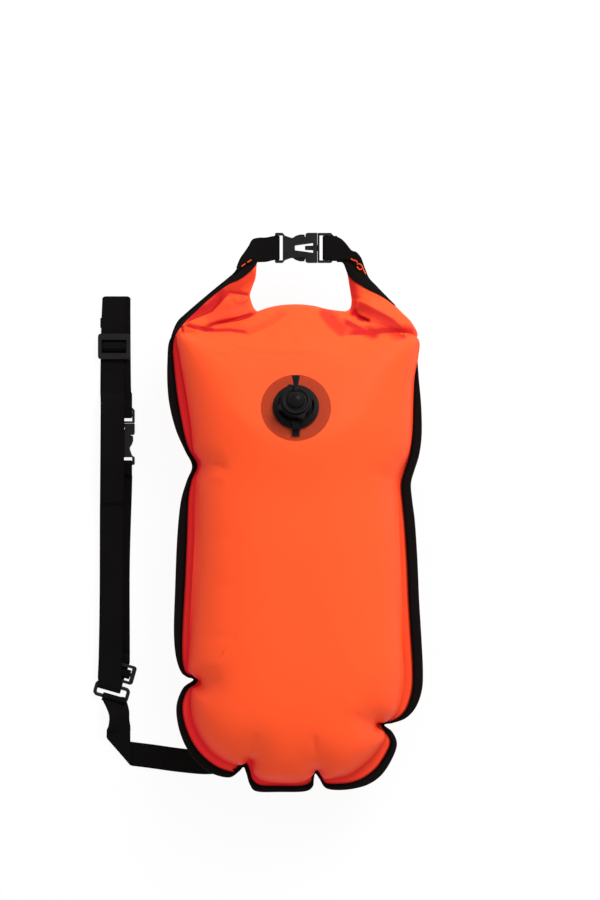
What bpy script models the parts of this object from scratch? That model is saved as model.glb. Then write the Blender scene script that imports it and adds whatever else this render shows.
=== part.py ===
"""Open water swim buoy with a roll-top mouth, an inflation valve, a leash and a waist belt.

The buoy lies on its back: +X is its right side, +Y runs towards the handle, +Z towards the valve.
The origin is on the flat of the back panel, under the middle of the body. Lengths are in metres.
"""
import math

import bmesh
import bpy
import numpy as np
from mathutils import Matrix, Vector
from mathutils.bvhtree import BVHTree

# Clearances and cuts
GAP = 0.0003
OVERRUN = 0.003
CUT_INSET = GAP / 10
SHARP_ANGLE = math.radians(40.0)
BEVEL_ANGLE = math.radians(50.0)
EDGE_ROUND = 0.0005

# Inflated body
BODY_WIDTH = 0.2575
BODY_LENGTH = 0.4710
BODY_TOP_Y = 0.2320
BODY_BOTTOM_Y = BODY_TOP_Y - BODY_LENGTH
BACK_DEPTH = 0.0660
FRONT_HEIGHT = 0.0740
FABRIC = 0.0006
LINER = 0.0004
LINER_INSET = 0.0040
LAYER_GAP = 0.0003

# Edge binding
BINDING_WIDTH = 0.0092
BINDING_WALL = 0.0008

# Rolled mouth
HANDLE_RISE = 0.0752
ROLL_THICKNESS = 0.0260
SHOULDER_TAPE_WIDTH = 0.0050
SHOULDER_TAPE_THICKNESS = 0.0024

# Webbing, shared by the handle, the belt and the leash
WEB_WIDTH = 0.0250
WEB_THICKNESS = 0.0016
WEB_TAIL = 0.0120
TAIL_STEP_SHARES = (0.70, 0.45, 0.15)
TAIL_BEND_SHARES = (0.6, 0.3)
STRAP_COLUMN_SHARES = (-0.5, -0.25, 0.0, 0.25, 0.5)

# Side release buckles
BUCKLE_SLOT_CLEARANCE = 0.0004
BUCKLE_FRAME = 0.0025
BUCKLE_SLOT_HALF = WEB_WIDTH / 2 + BUCKLE_SLOT_CLEARANCE
BUCKLE_HALF_WIDTH = BUCKLE_SLOT_HALF + BUCKLE_FRAME
BUCKLE_FEMALE_LENGTH = 0.0436
BUCKLE_MOUTH = 0.0140
BUCKLE_MALE_LENGTH = 0.0167
BUCKLE_THICKNESS = 0.0096
BUCKLE_PLATE = 0.0021
BUCKLE_SIDE_WALL = 0.0022
BUCKLE_BLOCK_LENGTH = 0.0122
BUCKLE_WINDOW_LENGTH = 0.0150
BUCKLE_WAIST_INSET = 0.0051
BUCKLE_WAIST = BUCKLE_HALF_WIDTH - BUCKLE_WAIST_INSET
BUCKLE_BAR = 0.0030
BUCKLE_BAR_THICKNESS = 0.0018
BUCKLE_SLOT = 0.0050
MALE_THICKNESS = 0.0064
MALE_SHOULDER = 0.0020
MALE_TAIL_SLOT = 0.0037
MALE_TAIL_THICKNESS = 0.0024
TONGUE_HALF_WIDTH = 0.0026
TONGUE_TIP_SHARE = 0.8
TONGUE_LENGTH = 0.0130
TONGUE_THICKNESS = 0.0040
SIGHT_START = -0.0090
SIGHT_END = 0.0096
PRONG_THICKNESS = 0.0044
PRONG_ROOT_INSET = 0.0067
PRONG_ROOT = BUCKLE_HALF_WIDTH - PRONG_ROOT_INSET
PRONG_REACH = 0.0264
PRONG_HEAD_INSET = 0.0016
PRONG_HEAD = BUCKLE_HALF_WIDTH - PRONG_HEAD_INSET
HANDLE_BUCKLE = (0.0069, 0.3214)
BELT_BUCKLE = (-0.1859, 0.1272)
RELEASE_TRAVEL = 0.0300

# Belt, folded flat beside the body
BELT_TOP = (-0.1902, 0.2741)
BELT_FRONT_SHIFT = 0.0046
FOLD_RADIUS = 0.0012
BELT_LIFT_RUN = 0.0200
BELT_SPLIT_RISE = 0.1390
BELT_SPLIT_Y = BODY_BOTTOM_Y + BELT_SPLIT_RISE

# Tri-glide sliders on the belt
SLIDER_SLOT_CLEARANCE = 0.0005
SLIDER_FRAME = 0.0039
KEEPER_FRAME = 0.0045
SLIDER_LENGTH = 0.0270
KEEPER_LENGTH = 0.0200
SLIDER_THICKNESS = 0.0033
SLIDER_SLOT_HALF = WEB_WIDTH / 2 + SLIDER_SLOT_CLEARANCE
SLIDER_SIZE = (2 * (SLIDER_SLOT_HALF + SLIDER_FRAME), SLIDER_LENGTH, SLIDER_THICKNESS)
KEEPER_SIZE = (2 * (SLIDER_SLOT_HALF + KEEPER_FRAME), KEEPER_LENGTH, SLIDER_THICKNESS)
SLIDER_CENTRE = (-0.1921, 0.2220)
KEEPER_RISE = 0.1194
KEEPER_CENTRE = (-0.1873, BODY_BOTTOM_Y + KEEPER_RISE)
SLIDER_SLOT = 0.0050
SLIDER_BAR = 0.0040
SLIDER_BAR_THICKNESS = 0.0017
SLIDER_CORNER = 0.0030
CREST_FOOT_SHARE = 0.3

# Leash ring, tilted with the pull of the leash
RING_ROOM = 0.0130
RING_LENGTH = WEB_WIDTH + RING_ROOM
RING_PITCH = 0.0130
RING_WIRE = 0.0019
RING_CORNER = 0.0034
RING_RISE = 0.1048
RING_TOP_BAR = (-0.1930, BODY_BOTTOM_Y + RING_RISE)
RING_TILT = math.radians(-16.0)

# Leash and its patch
LEASH_FOLD_RISE = 0.0380
LEASH_FOLD = (-0.1835, BODY_BOTTOM_Y + LEASH_FOLD_RISE)
LEASH_FOLD_RADIUS = 0.0014
LEASH_FOLD_ANGLE = math.radians(49.0)
LEASH_STRAIGHT = 0.0200
LEASH_REACH_SHARE = 0.72
LEASH_TURN_SHARE = 0.4
LEASH_END_SHARES = (-0.80, -0.40, -0.15, 0.10)
LEASH_FLOOR_RISES = ((-0.1140, 0.0280), (-0.0860, 0.0270), (-0.0600, 0.0320))
PATCH_SIZE = (0.0440, 0.0300)
PATCH_THICKNESS = 0.0010
PATCH_RISE = 0.0590
PATCH_CENTRE = (0.0010, BODY_BOTTOM_Y + PATCH_RISE)

# Inflation valve, standing square on the sloping front
VALVE_CENTRE = (-0.0010, 0.1560)
VALVE_TILT = math.radians(19.0)
VALVE_SEAT_Z = 0.1335
SEAT_BLEND = 0.0300
WELD_RADIUS = 0.0355
WELD_THICKNESS = 0.0008
BASE_RADIUS = 0.0233
BORE_SHARE = 0.6867
BORE_RADIUS = BASE_RADIUS * BORE_SHARE
BASE_STEP = 0.0024
BASE_STEP_IN = 0.0017
BASE_WALL = 0.0019
BASE_HEIGHT = 0.0082
BASE_DEPTH = 0.0090
STEM_WALL = 0.0018
STEM_DEPTH = 0.0068
NECK_INSET = 0.0018
NECK_RADIUS = BORE_RADIUS - NECK_INSET
LOBE_Z = 0.0145
LOBE_THICKNESS = 0.0042
LOBE_RADIUS = NECK_RADIUS + NECK_INSET
LOBE_REACH = 0.0030
LOBE_TURN = math.radians(21.0)
LOBE_EDGE_SHARES = (0.86, 0.94)
LOBE_POWER = 1.5
SEAL_WIRE = 0.0006
SEAL_LIFT_SHARE = 0.6
DIAPHRAGM_THICKNESS = 0.0010
CAP_INSET = 0.0020
CAP_RADIUS = LOBE_RADIUS - CAP_INSET
CAP_THICKNESS = 0.0036
CAP_SHELF = 0.0054
CAP_DOME_RADIUS = CAP_RADIUS - CAP_SHELF
CAP_DOME_HEIGHT = 0.0068
CAP_DOME_SHARES = ((0.96, 0.30), (0.78, 0.66), (0.42, 0.92))
PLUG_INSET = 0.0060
PLUG_RADIUS = CAP_RADIUS - PLUG_INSET
PLUG_DEPTH = 0.0060
TAB_THICKNESS = 0.0013
TAB_WIDTH = 0.0046
TAB_FLARE = 0.0082
TAB_BEND_SHARES = (1.25, 1.6)
RETAINER_WIDTH = 0.0076
RETAINER_ROOM = 0.0010

# Outline of the body and, beside each of its points, the foot of the inflated dome.
# x is a share of half the width, y a share of the length from the bottom seam.
OUTLINE_SHARES = (
    (-1.008, 0.987, -0.904, 0.996),
    (-1.038, 0.940, -0.942, 0.940),
    (-1.029, 0.862, -0.893, 0.862),
    (-0.974, 0.796, -0.856, 0.796),
    (-0.899, 0.748, -0.835, 0.748),
    (-0.840, 0.713, -0.774, 0.717),
    (-0.883, 0.680, -0.809, 0.682),
    (-0.932, 0.632, -0.816, 0.632),
    (-0.960, 0.551, -0.818, 0.551),
    (-0.976, 0.442, -0.840, 0.442),
    (-0.986, 0.354, -0.858, 0.354),
    (-0.971, 0.300, -0.872, 0.300),
    (-0.932, 0.265, -0.873, 0.268),
    (-0.830, 0.245, -0.772, 0.241),
    (-0.912, 0.227, -0.842, 0.225),
    (-0.964, 0.190, -0.854, 0.190),
    (-0.952, 0.147, -0.827, 0.153),
    (-0.896, 0.103, -0.768, 0.118),
    (-0.808, 0.068, -0.684, 0.090),
    (-0.688, 0.042, -0.576, 0.069),
    (-0.544, 0.032, -0.472, 0.060),
    (-0.464, 0.045, -0.412, 0.063),
    (-0.428, 0.055, -0.370, 0.073),
    (-0.404, 0.039, -0.360, 0.058),
    (-0.376, 0.015, -0.344, 0.039),
    (-0.320, 0.001, -0.276, 0.026),
    (-0.136, 0.000, -0.128, 0.022),
    (0.056, 0.001, 0.040, 0.023),
    (0.124, 0.011, 0.099, 0.030),
    (0.136, 0.028, 0.128, 0.038),
    (0.147, 0.040, 0.160, 0.049),
    (0.180, 0.028, 0.191, 0.038),
    (0.224, 0.010, 0.228, 0.029),
    (0.304, 0.004, 0.328, 0.033),
    (0.440, 0.007, 0.428, 0.041),
    (0.572, 0.017, 0.516, 0.057),
    (0.680, 0.038, 0.590, 0.075),
    (0.760, 0.072, 0.664, 0.100),
    (0.800, 0.105, 0.702, 0.118),
    (0.764, 0.131, 0.690, 0.135),
    (0.699, 0.147, 0.638, 0.150),
    (0.768, 0.151, 0.709, 0.154),
    (0.872, 0.162, 0.794, 0.173),
    (0.952, 0.186, 0.819, 0.190),
    (1.000, 0.223, 0.846, 0.225),
    (1.008, 0.267, 0.862, 0.267),
    (0.997, 0.332, 0.853, 0.332),
    (0.978, 0.420, 0.838, 0.420),
    (0.964, 0.507, 0.826, 0.507),
    (0.944, 0.591, 0.814, 0.586),
    (0.924, 0.634, 0.810, 0.632),
    (0.912, 0.674, 0.802, 0.674),
    (0.938, 0.702, 0.836, 0.705),
    (0.978, 0.737, 0.893, 0.739),
    (0.998, 0.783, 0.919, 0.783),
    (0.994, 0.846, 0.927, 0.846),
    (0.974, 0.908, 0.939, 0.908),
    (0.966, 0.967, 0.940, 0.962),
    (0.944, 0.991, 0.908, 0.986),
    (0.784, 1.000, 0.760, 0.992),
    (0.504, 1.000, 0.488, 0.992),
    (0.224, 1.000, 0.224, 0.992),
    (0.000, 1.000, 0.000, 0.992),
    (-0.280, 1.000, -0.280, 0.992),
    (-0.576, 1.000, -0.568, 0.992),
    (-0.840, 0.998, -0.808, 0.993),
)
BOUND_ROWS = 59
SEAM_PIECES = 12
LINER_EDGE_SHARE = 0.85
BINDING_REACH_SHARE = 0.86
DOME_CENTRE_SHARE = 0.52
REACH_SHARE = 0.33
TOP_TAPER_SHARE = 0.22
TOP_TAPER_POWER = 1.6
BACK_FLAT_SHARE = 1.04
FRONT_RING_SHARES = (0.03, 0.09, 0.19, 0.33, 0.51, 0.74)
BACK_RING_SHARES = (0.05, 0.14, 0.28, 0.48, 0.74)
LINER_RING_SHARES = (0.04, 0.14, 0.32, 0.62)
LINER_DEPTH_SHARE = 0.90
LINER_START_SHARE = 0.64

# Rolled mouth, from the left tip round the hand opening to the right tip.
# Each station has its inner and outer edge, x as a share of half the body's width and
# y as a share of the handle's rise over the body, and its share of the roll's thickness.
MOUTH_SHARES = (
    (-0.320, 1.000, -0.452, 0.870, 0.34),
    (-0.336, 0.781, -0.566, 0.700, 0.46),
    (-0.376, 0.562, -0.718, 0.494, 0.60),
    (-0.344, 0.411, -0.870, 0.262, 0.78),
    (-0.296, 0.343, -0.950, 0.055, 0.92),
    (-0.200, 0.391, -0.656, -0.006, 1.00),
    (-0.088, 0.421, -0.280, -0.006, 1.00),
    (0.024, 0.425, 0.024, -0.006, 1.00),
    (0.168, 0.404, 0.328, -0.006, 1.00),
    (0.296, 0.356, 0.650, -0.006, 1.00),
    (0.392, 0.336, 0.930, 0.060, 0.92),
    (0.424, 0.411, 0.905, 0.250, 0.80),
    (0.440, 0.507, 0.790, 0.384, 0.66),
    (0.416, 0.726, 0.664, 0.616, 0.48),
    (0.392, 1.000, 0.512, 0.918, 0.34),
)
MOUTH_SPLIT_ROW = 11
MOUTH_SECTION_STEPS = 14
TAPE_ROWS = 8

# Webbing on the two ends of the mouth: its middle and the direction of its width, as shares
# of the same lengths, and its width there as a share of its full width.
LEFT_WEBBING_SHARES = (
    (-0.295, 1.168, 0.00, 1.00, 1.00),
    (-0.341, 1.137, -0.12, 0.99, 0.95),
    (-0.376, 1.044, -0.42, 0.91, 0.77),
    (-0.444, 0.935, -0.30, 0.95, 0.62),
    (-0.472, 0.798, -0.40, 0.92, 0.40),
)
RIGHT_WEBBING_SHARES = (
    (0.312, 1.188, 0.00, 1.00, 1.00),
    (0.360, 1.160, 0.00, 1.00, 0.96),
    (0.416, 1.065, 0.30, 0.95, 0.84),
    (0.468, 0.942, 0.54, 0.84, 0.80),
    (0.540, 0.750, 0.40, 0.92, 0.50),
    (0.659, 0.585, 0.50, 0.86, 0.22),
    (0.745, 0.450, 0.60, 0.80, 0.14),
)

# Outline of a prong, along as a share of its reach and across as a share of its head
PRONG_OUTLINE_SHARES = (
    (0.00, 0.54),
    (0.00, 0.74),
    (0.34, 0.76),
    (0.47, 0.79),
    (0.49, 0.98),
    (0.54, 1.00),
    (0.68, 1.00),
    (0.84, 0.90),
    (0.95, 0.75),
    (1.00, 0.62),
    (0.97, 0.54),
    (0.85, 0.53),
    (0.66, 0.60),
    (0.34, 0.56),
)

SEAM_Z = BACK_DEPTH
STACK = FABRIC + LAYER_GAP + LINER + LAYER_GAP + FABRIC


def material(name, colour, roughness, metallic=0.0):
    """A plain finish for one sub-part."""
    finish = bpy.data.materials.new(name)
    finish.use_nodes = True
    shader = finish.node_tree.nodes["Principled BSDF"]
    shader.inputs["Base Color"].default_value = (*colour, 1.0)
    shader.inputs["Roughness"].default_value = roughness
    shader.inputs["Metallic"].default_value = metallic
    return finish


def clear_scene():
    for old in list(bpy.data.objects):
        bpy.data.objects.remove(old, do_unlink=True)


def add_object(name, mesh, finish, smooth=True):
    """One named sub-part from a finished mesh."""
    part = bpy.data.objects.new(name, mesh)
    bpy.context.scene.collection.objects.link(part)
    if finish:
        mesh.materials.append(finish)
    if smooth:
        mesh.shade_smooth()
        mesh.set_sharp_from_angle(angle=SHARP_ANGLE)
    return part


def mesh_from(name, points, faces):
    """A mesh whose faces are turned outwards."""
    mesh = bpy.data.meshes.new(name)
    mesh.from_pydata([tuple(p) for p in points], [], faces)
    work = bmesh.new()
    work.from_mesh(mesh)
    bmesh.ops.recalc_face_normals(work, faces=work.faces)
    work.to_mesh(mesh)
    work.free()
    return mesh


def ring_faces(ring_count, ring_size, closed_along=False):
    """Quads between rings of equal size, with end caps unless the rings close on themselves."""
    faces = []
    spans = ring_count if closed_along else ring_count - 1
    for i in range(spans):
        here = i * ring_size
        there = ((i + 1) % ring_count) * ring_size
        for j in range(ring_size):
            k = (j + 1) % ring_size
            faces.append((here + j, here + k, there + k, there + j))
    if not closed_along:
        faces.append(tuple(range(ring_size)))
        faces.append(tuple(range((ring_count - 1) * ring_size, ring_count * ring_size)))
    return faces


def prism(name, outline, low, high):
    """A flat outline, drawn in X and Y, carried from one height to another."""
    count = len(outline)
    points = [(x, y, low) for x, y in outline] + [(x, y, high) for x, y in outline]
    return mesh_from(name, points, ring_faces(2, count))


def rounded_box_outline(half_x, half_y, radius, steps=3):
    """A rectangle with round corners, centred on the origin."""
    outline = []
    corners = ((1, 1, 0.0), (-1, 1, 90.0), (-1, -1, 180.0), (1, -1, 270.0))
    for sign_x, sign_y, start in corners:
        for step in range(steps + 1):
            angle = math.radians(start + 90.0 * step / steps)
            x = sign_x * (half_x - radius) + radius * math.cos(angle)
            y = sign_y * (half_y - radius) + radius * math.sin(angle)
            outline.append((x, y))
    return outline


def box_mesh(name, low, high):
    outline = ((low[0], low[1]), (high[0], low[1]), (high[0], high[1]), (low[0], high[1]))
    return prism(name, outline, low[2], high[2])


def add_cutter(name, mesh, place):
    cutter = bpy.data.objects.new(name, mesh)
    bpy.context.scene.collection.objects.link(cutter)
    cutter.matrix_world = place
    cutter.hide_render = True
    cutter.display_type = "WIRE"
    return cutter


def cut(part, meshes, place):
    """Takes each cutter mesh out of a part, in turn."""
    for number, mesh in enumerate(meshes):
        cutter = add_cutter(f"{part.name}_cutter_{number}", mesh, place)
        step = part.modifiers.new(f"cut_{number}", "BOOLEAN")
        step.operation = "DIFFERENCE"
        step.solver = "EXACT"
        step.object = cutter


def round_edges(part, width=EDGE_ROUND, segments=1):
    step = part.modifiers.new("round_edges", "BEVEL")
    step.width = width
    step.segments = segments
    step.limit_method = "ANGLE"
    step.angle_limit = BEVEL_ANGLE


def revolve(name, profile, steps=32):
    """A closed profile of (radius, height) turned about Z into one solid."""
    points = []
    for step in range(steps):
        angle = 2.0 * math.pi * step / steps
        for radius, height in profile:
            points.append((radius * math.cos(angle), radius * math.sin(angle), height))
    return mesh_from(name, points, ring_faces(steps, len(profile), closed_along=True))


def revolve_capped(name, profile, steps=32):
    """A profile that starts and ends on the axis, turned about Z into one solid."""
    bottom = profile[0]
    top = profile[-1]
    rings = profile[1:-1]
    points = []
    for radius, height in rings:
        for step in range(steps):
            angle = 2.0 * math.pi * step / steps
            points.append((radius * math.cos(angle), radius * math.sin(angle), height))
    faces = ring_faces(len(rings), steps)[:-2]
    points.append((0.0, 0.0, bottom[1]))
    points.append((0.0, 0.0, top[1]))
    low_centre = len(points) - 2
    high_centre = len(points) - 1
    last = (len(rings) - 1) * steps
    for step in range(steps):
        after = (step + 1) % steps
        faces.append((low_centre, after, step))
        faces.append((high_centre, last + step, last + after))
    return mesh_from(name, points, faces)


def smooth_path(points, steps=4):
    """Points along a smooth curve through every given row of numbers."""
    rows = [np.array(p, dtype=float) for p in points]
    padded = [2 * rows[0] - rows[1]] + rows + [2 * rows[-1] - rows[-2]]
    out = []
    for i in range(1, len(padded) - 2):
        a, b, c, d = padded[i - 1: i + 3]
        for step in range(steps):
            t = step / steps
            out.append(0.5 * (2 * b + (c - a) * t + (2 * a - 5 * b + 4 * c - d) * t * t
                              + (3 * b - a - 3 * c + d) * t * t * t))
    out.append(rows[-1])
    return out


def strap_mesh(name, stations, thickness=WEB_THICKNESS):
    """A flat strap. Each station is a centre point, the direction of its width and that width."""
    centres = [Vector(point) for point, _, _ in stations]
    points = []
    for i, (_, side, width) in enumerate(stations):
        before = centres[max(i - 1, 0)]
        after = centres[min(i + 1, len(centres) - 1)]
        along = (after - before).normalized()
        across = Vector(side)
        across = (across - along * across.dot(along)).normalized()
        face = along.cross(across)
        for u, v in ((-0.5, -0.5), (0.5, -0.5), (0.5, 0.5), (-0.5, 0.5)):
            points.append(centres[i] + across * (u * width) + face * (v * thickness))
    return mesh_from(name, points, ring_faces(len(stations), 4))


def bar_wrap(bar, pull, up, radius, hold=0.0, steps=8):
    """Centre points of webbing: its sewn tail, then half a turn round a bar.

    pull points from the bar to where the webbing leaves, and up to the side that it leaves on.
    The tail stays on the other side for the length hold, to clear what lies next to the bar.
    """
    bar, pull, up = Vector(bar), Vector(pull), Vector(up)
    wrap = radius + GAP + WEB_THICKNESS / 2
    beside = wrap - WEB_THICKNESS - GAP
    far, middle, near = TAIL_STEP_SHARES
    bend, settle = TAIL_BEND_SHARES
    points = [
        bar + pull * (hold + WEB_TAIL) + up * beside,
        bar + pull * (hold + WEB_TAIL * far) + up * beside,
        bar + pull * (hold + WEB_TAIL * middle) + up * (beside - WEB_THICKNESS * bend),
        bar + pull * (hold + WEB_TAIL * near) - up * (wrap - WEB_THICKNESS * settle),
        bar + pull * hold - up * wrap,
    ]
    if hold == 0.0:
        points.pop()
    for step in range(steps + 1):
        angle = math.pi * step / steps
        points.append(bar - pull * (wrap * math.sin(angle)) - up * (wrap * math.cos(angle)))
    return points


def body_x(share):
    return share * BODY_WIDTH / 2


def body_y(share):
    return BODY_BOTTOM_Y + share * BODY_LENGTH


def foot_points():
    """The foot of the dome all round, in plan."""
    return np.array([(body_x(row[2]), body_y(row[3])) for row in OUTLINE_SHARES])


def edge_points(inset=0.0):
    """The sewn edge all round in plan, drawn in towards the foot of the dome."""
    foot = foot_points()
    edge = np.array([(body_x(row[0]), body_y(row[1])) for row in OUTLINE_SHARES])
    inward = foot - edge
    reach = np.sqrt((inward ** 2).sum(axis=1))
    share = np.minimum(inset / reach, LINER_EDGE_SHARE)
    return edge + inward * share[:, None]


def inflation(points):
    """How far each point of the plan is blown up, from 0 at the foot of the dome to 1."""
    foot = foot_points()
    ahead = np.roll(foot, -1, axis=0)
    steps = (np.arange(SEAM_PIECES) + 0.5) / SEAM_PIECES
    middles = foot[:, None, :] + (ahead - foot)[:, None, :] * steps[None, :, None]
    middles = middles.reshape(-1, 2)
    lengths = np.repeat(np.sqrt(((ahead - foot) ** 2).sum(axis=1)) / SEAM_PIECES, SEAM_PIECES)
    spread = ((points[:, None, :] - middles[None, :, :]) ** 2).sum(axis=2)
    near = (lengths[None, :] / np.maximum(spread, EDGE_ROUND ** 2) ** 2).sum(axis=1)
    distance = (near * 2.0 / math.pi) ** (-1.0 / 3.0)
    inside = np.minimum(distance / (REACH_SHARE * BODY_WIDTH), 1.0)
    return np.sqrt(1.0 - (1.0 - inside) ** 2)


def top_taper(points):
    """The front is a little flatter towards the mouth."""
    share = (points[:, 1] - body_y(DOME_CENTRE_SHARE)) / (BODY_TOP_Y - body_y(DOME_CENTRE_SHARE))
    return 1.0 - TOP_TAPER_SHARE * np.clip(share, 0.0, 1.0) ** TOP_TAPER_POWER


def valve_frame():
    """Where the valve stands: its axis leans towards the handle with the front panel."""
    place = Matrix.Translation((VALVE_CENTRE[0], VALVE_CENTRE[1], VALVE_SEAT_Z))
    return place @ Matrix.Rotation(-VALVE_TILT, 4, "X")


def seat_valve(points, heights):
    """The front panel lies flat against the valve's weld flange and blends into the dome."""
    offset = points - np.array(VALVE_CENTRE)
    slope = -math.tan(VALVE_TILT)
    plane = VALVE_SEAT_Z - (GAP + FABRIC / 2) / math.cos(VALVE_TILT) + slope * offset[:, 1]
    radius = np.sqrt((offset ** 2).sum(axis=1))
    flat = np.clip((WELD_RADIUS + SEAT_BLEND - radius) / SEAT_BLEND, 0.0, 1.0)
    flat = flat * flat * (3.0 - 2.0 * flat)
    return heights * (1.0 - flat) + plane * flat


def panel_points(ring_shares, edge_inset, shape, level):
    """Rings of points from the sewn edge over the foot of the dome to its middle.

    level is the layer's place in the stack at the flange.
    """
    foot = foot_points()
    middle = np.array((0.0, body_y(DOME_CENTRE_SHARE)))
    flat = np.full(len(foot), SEAM_Z + level)
    rings = [np.column_stack((edge_points(edge_inset), flat)), np.column_stack((foot, flat))]
    for share in ring_shares:
        plan = foot + (middle - foot) * share
        rings.append(np.column_stack((plan, shape(plan))))
    rings.append(np.column_stack((middle[None, :], shape(middle[None, :]))))
    return rings


def panel_mesh(name, rings):
    """An open sheet of rings that closes on one point in its middle."""
    size = len(rings[0])
    points = np.concatenate(rings)
    faces = ring_faces(len(rings) - 1, size)[:-2]
    start = (len(rings) - 2) * size
    for j in range(size):
        faces.append((start + j, start + (j + 1) % size, len(points) - 1))
    mesh = bpy.data.meshes.new(name)
    mesh.from_pydata(points.tolist(), [], faces)
    return mesh


def sheet_thickness(part, thickness):
    step = part.modifiers.new("fabric", "SOLIDIFY")
    step.thickness = thickness
    step.offset = 0.0
    step.use_even_offset = False


def front_shape(plan):
    level = SEAM_Z + STACK / 2 - FABRIC / 2
    return seat_valve(plan, level + FRONT_HEIGHT * top_taper(plan) * inflation(plan))


def back_shape(plan):
    level = SEAM_Z - STACK / 2 + FABRIC / 2
    depth = (level - FABRIC / 2) * BACK_FLAT_SHARE * inflation(plan)
    return np.maximum(level - depth, FABRIC / 2)


def liner_shape(plan):
    slack = np.maximum(inflation(plan) - LINER_START_SHARE, 0.0) / (1.0 - LINER_START_SHARE)
    return SEAM_Z - (SEAM_Z - FABRIC - GAP - LINER) * LINER_DEPTH_SHARE * slack


def make_panels(orange, grey):
    """Front and back panels and the air wall between them, welded together at the flange."""
    inset = BINDING_WALL + GAP
    outer = STACK / 2 - FABRIC / 2
    front = panel_points(FRONT_RING_SHARES, inset, front_shape, outer)
    part = add_object("front_panel", panel_mesh("front_panel", front), orange)
    sheet_thickness(part, FABRIC)
    hole = revolve_capped("valve_hole", ((0.0, -BASE_DEPTH), (BORE_RADIUS + GAP, -BASE_DEPTH),
                                         (BORE_RADIUS + GAP, BASE_DEPTH), (0.0, BASE_DEPTH)))
    cut(part, [hole], valve_frame())
    back = panel_points(BACK_RING_SHARES, inset, back_shape, -outer)
    part = add_object("back_panel", panel_mesh("back_panel", back), orange)
    sheet_thickness(part, FABRIC)
    liner = panel_points(LINER_RING_SHARES, inset + LINER_INSET, liner_shape, 0.0)
    part = add_object("dry_bag_wall", panel_mesh("dry_bag_wall", liner), grey)
    sheet_thickness(part, LINER)


def make_binding(black):
    """Folded tape over the sewn edge, from the left shoulder round the bottom to the right one."""
    edges = [Vector((*p, SEAM_Z)) for p in edge_points()]
    feet = [Vector((*p, SEAM_Z)) for p in foot_points()]
    up = Vector((0.0, 0.0, 1.0))
    half = STACK / 2 + GAP
    wall = half + BINDING_WALL
    points = []
    for edge, foot in list(zip(edges, feet))[:BOUND_ROWS]:
        inward = foot - edge
        width = min(BINDING_WIDTH, inward.length * BINDING_REACH_SHARE)
        inward.normalize()
        section = ((width, wall), (EDGE_ROUND, wall), (0.0, half), (0.0, -half),
                   (EDGE_ROUND, -wall), (width, -wall), (width, -half), (BINDING_WALL, -half),
                   (BINDING_WALL, half), (width, half))
        for reach, rise in section:
            points.append(edge + inward * reach + up * rise)
    mesh = mesh_from("edge_binding", points, ring_faces(BOUND_ROWS, len(section)))
    add_object("edge_binding", mesh, black)


def mouth_point(x_share, y_share):
    return np.array((body_x(x_share), BODY_TOP_Y + y_share * HANDLE_RISE))


def mouth_mesh(name, rows, start_shift):
    """A soft roll through stations between its inner and outer edge."""
    stations = smooth_path(rows, 2)
    points = []
    for i, row in enumerate(stations):
        inner = mouth_point(row[0], row[1])
        outer = mouth_point(row[2], row[3])
        centre = (inner + outer) / 2
        half = (outer - inner) / 2
        if i == 0:
            along = np.array((half[1], -half[0])) / np.sqrt((half ** 2).sum())
            centre = centre + along * start_shift
        for step in range(MOUTH_SECTION_STEPS):
            angle = 2.0 * math.pi * step / MOUTH_SECTION_STEPS
            plan = centre + half * math.cos(angle)
            rise = row[4] * ROLL_THICKNESS / 2 * math.sin(angle)
            points.append((plan[0], plan[1], SEAM_Z + rise))
    return mesh_from(name, points, ring_faces(len(stations), MOUTH_SECTION_STEPS))


def make_mouth(orange, black):
    """The mouth, rolled down and bent into a carrying handle."""
    main = mouth_mesh("mouth_roll", MOUTH_SHARES[:MOUTH_SPLIT_ROW + 1], 0.0)
    add_object("mouth_roll", main, orange)
    end = mouth_mesh("mouth_end_right", MOUTH_SHARES[MOUTH_SPLIT_ROW:], -GAP)
    add_object("mouth_end_right", end, orange)
    rows = smooth_path(MOUTH_SHARES[:MOUTH_SPLIT_ROW + 1], 2)[:TAPE_ROWS]
    rows = [mouth_point(row[2], row[3]) for row in rows]
    stations = []
    for i, here in enumerate(rows):
        run = rows[min(i + 1, len(rows) - 1)] - rows[max(i - 1, 0)]
        outward = np.array((run[1], -run[0])) / np.sqrt((run ** 2).sum())
        place = here + outward * (2 * GAP + SHOULDER_TAPE_WIDTH / 2)
        stations.append(((*place, SEAM_Z), (*outward, 0.0), SHOULDER_TAPE_WIDTH))
    mesh = strap_mesh("shoulder_tape", stations, SHOULDER_TAPE_THICKNESS)
    add_object("shoulder_tape", mesh, black)
    return [height_tree(main), height_tree(end)]


def height_tree(mesh):
    """A mesh to drop plumb lines on."""
    points = [v.co.copy() for v in mesh.vertices]
    return BVHTree.FromPolygons(points, [tuple(f.vertices) for f in mesh.polygons])


def top_over(trees, x, y):
    """Height of the upper side of some pieces over a point of the plan."""
    down = Vector((0.0, 0.0, -1.0))
    high = SEAM_Z
    for tree in trees:
        hit = tree.ray_cast(Vector((x, y, SEAM_Z + ROLL_THICKNESS)), down)[0]
        if hit:
            high = max(high, hit.z)
    return high


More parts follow.
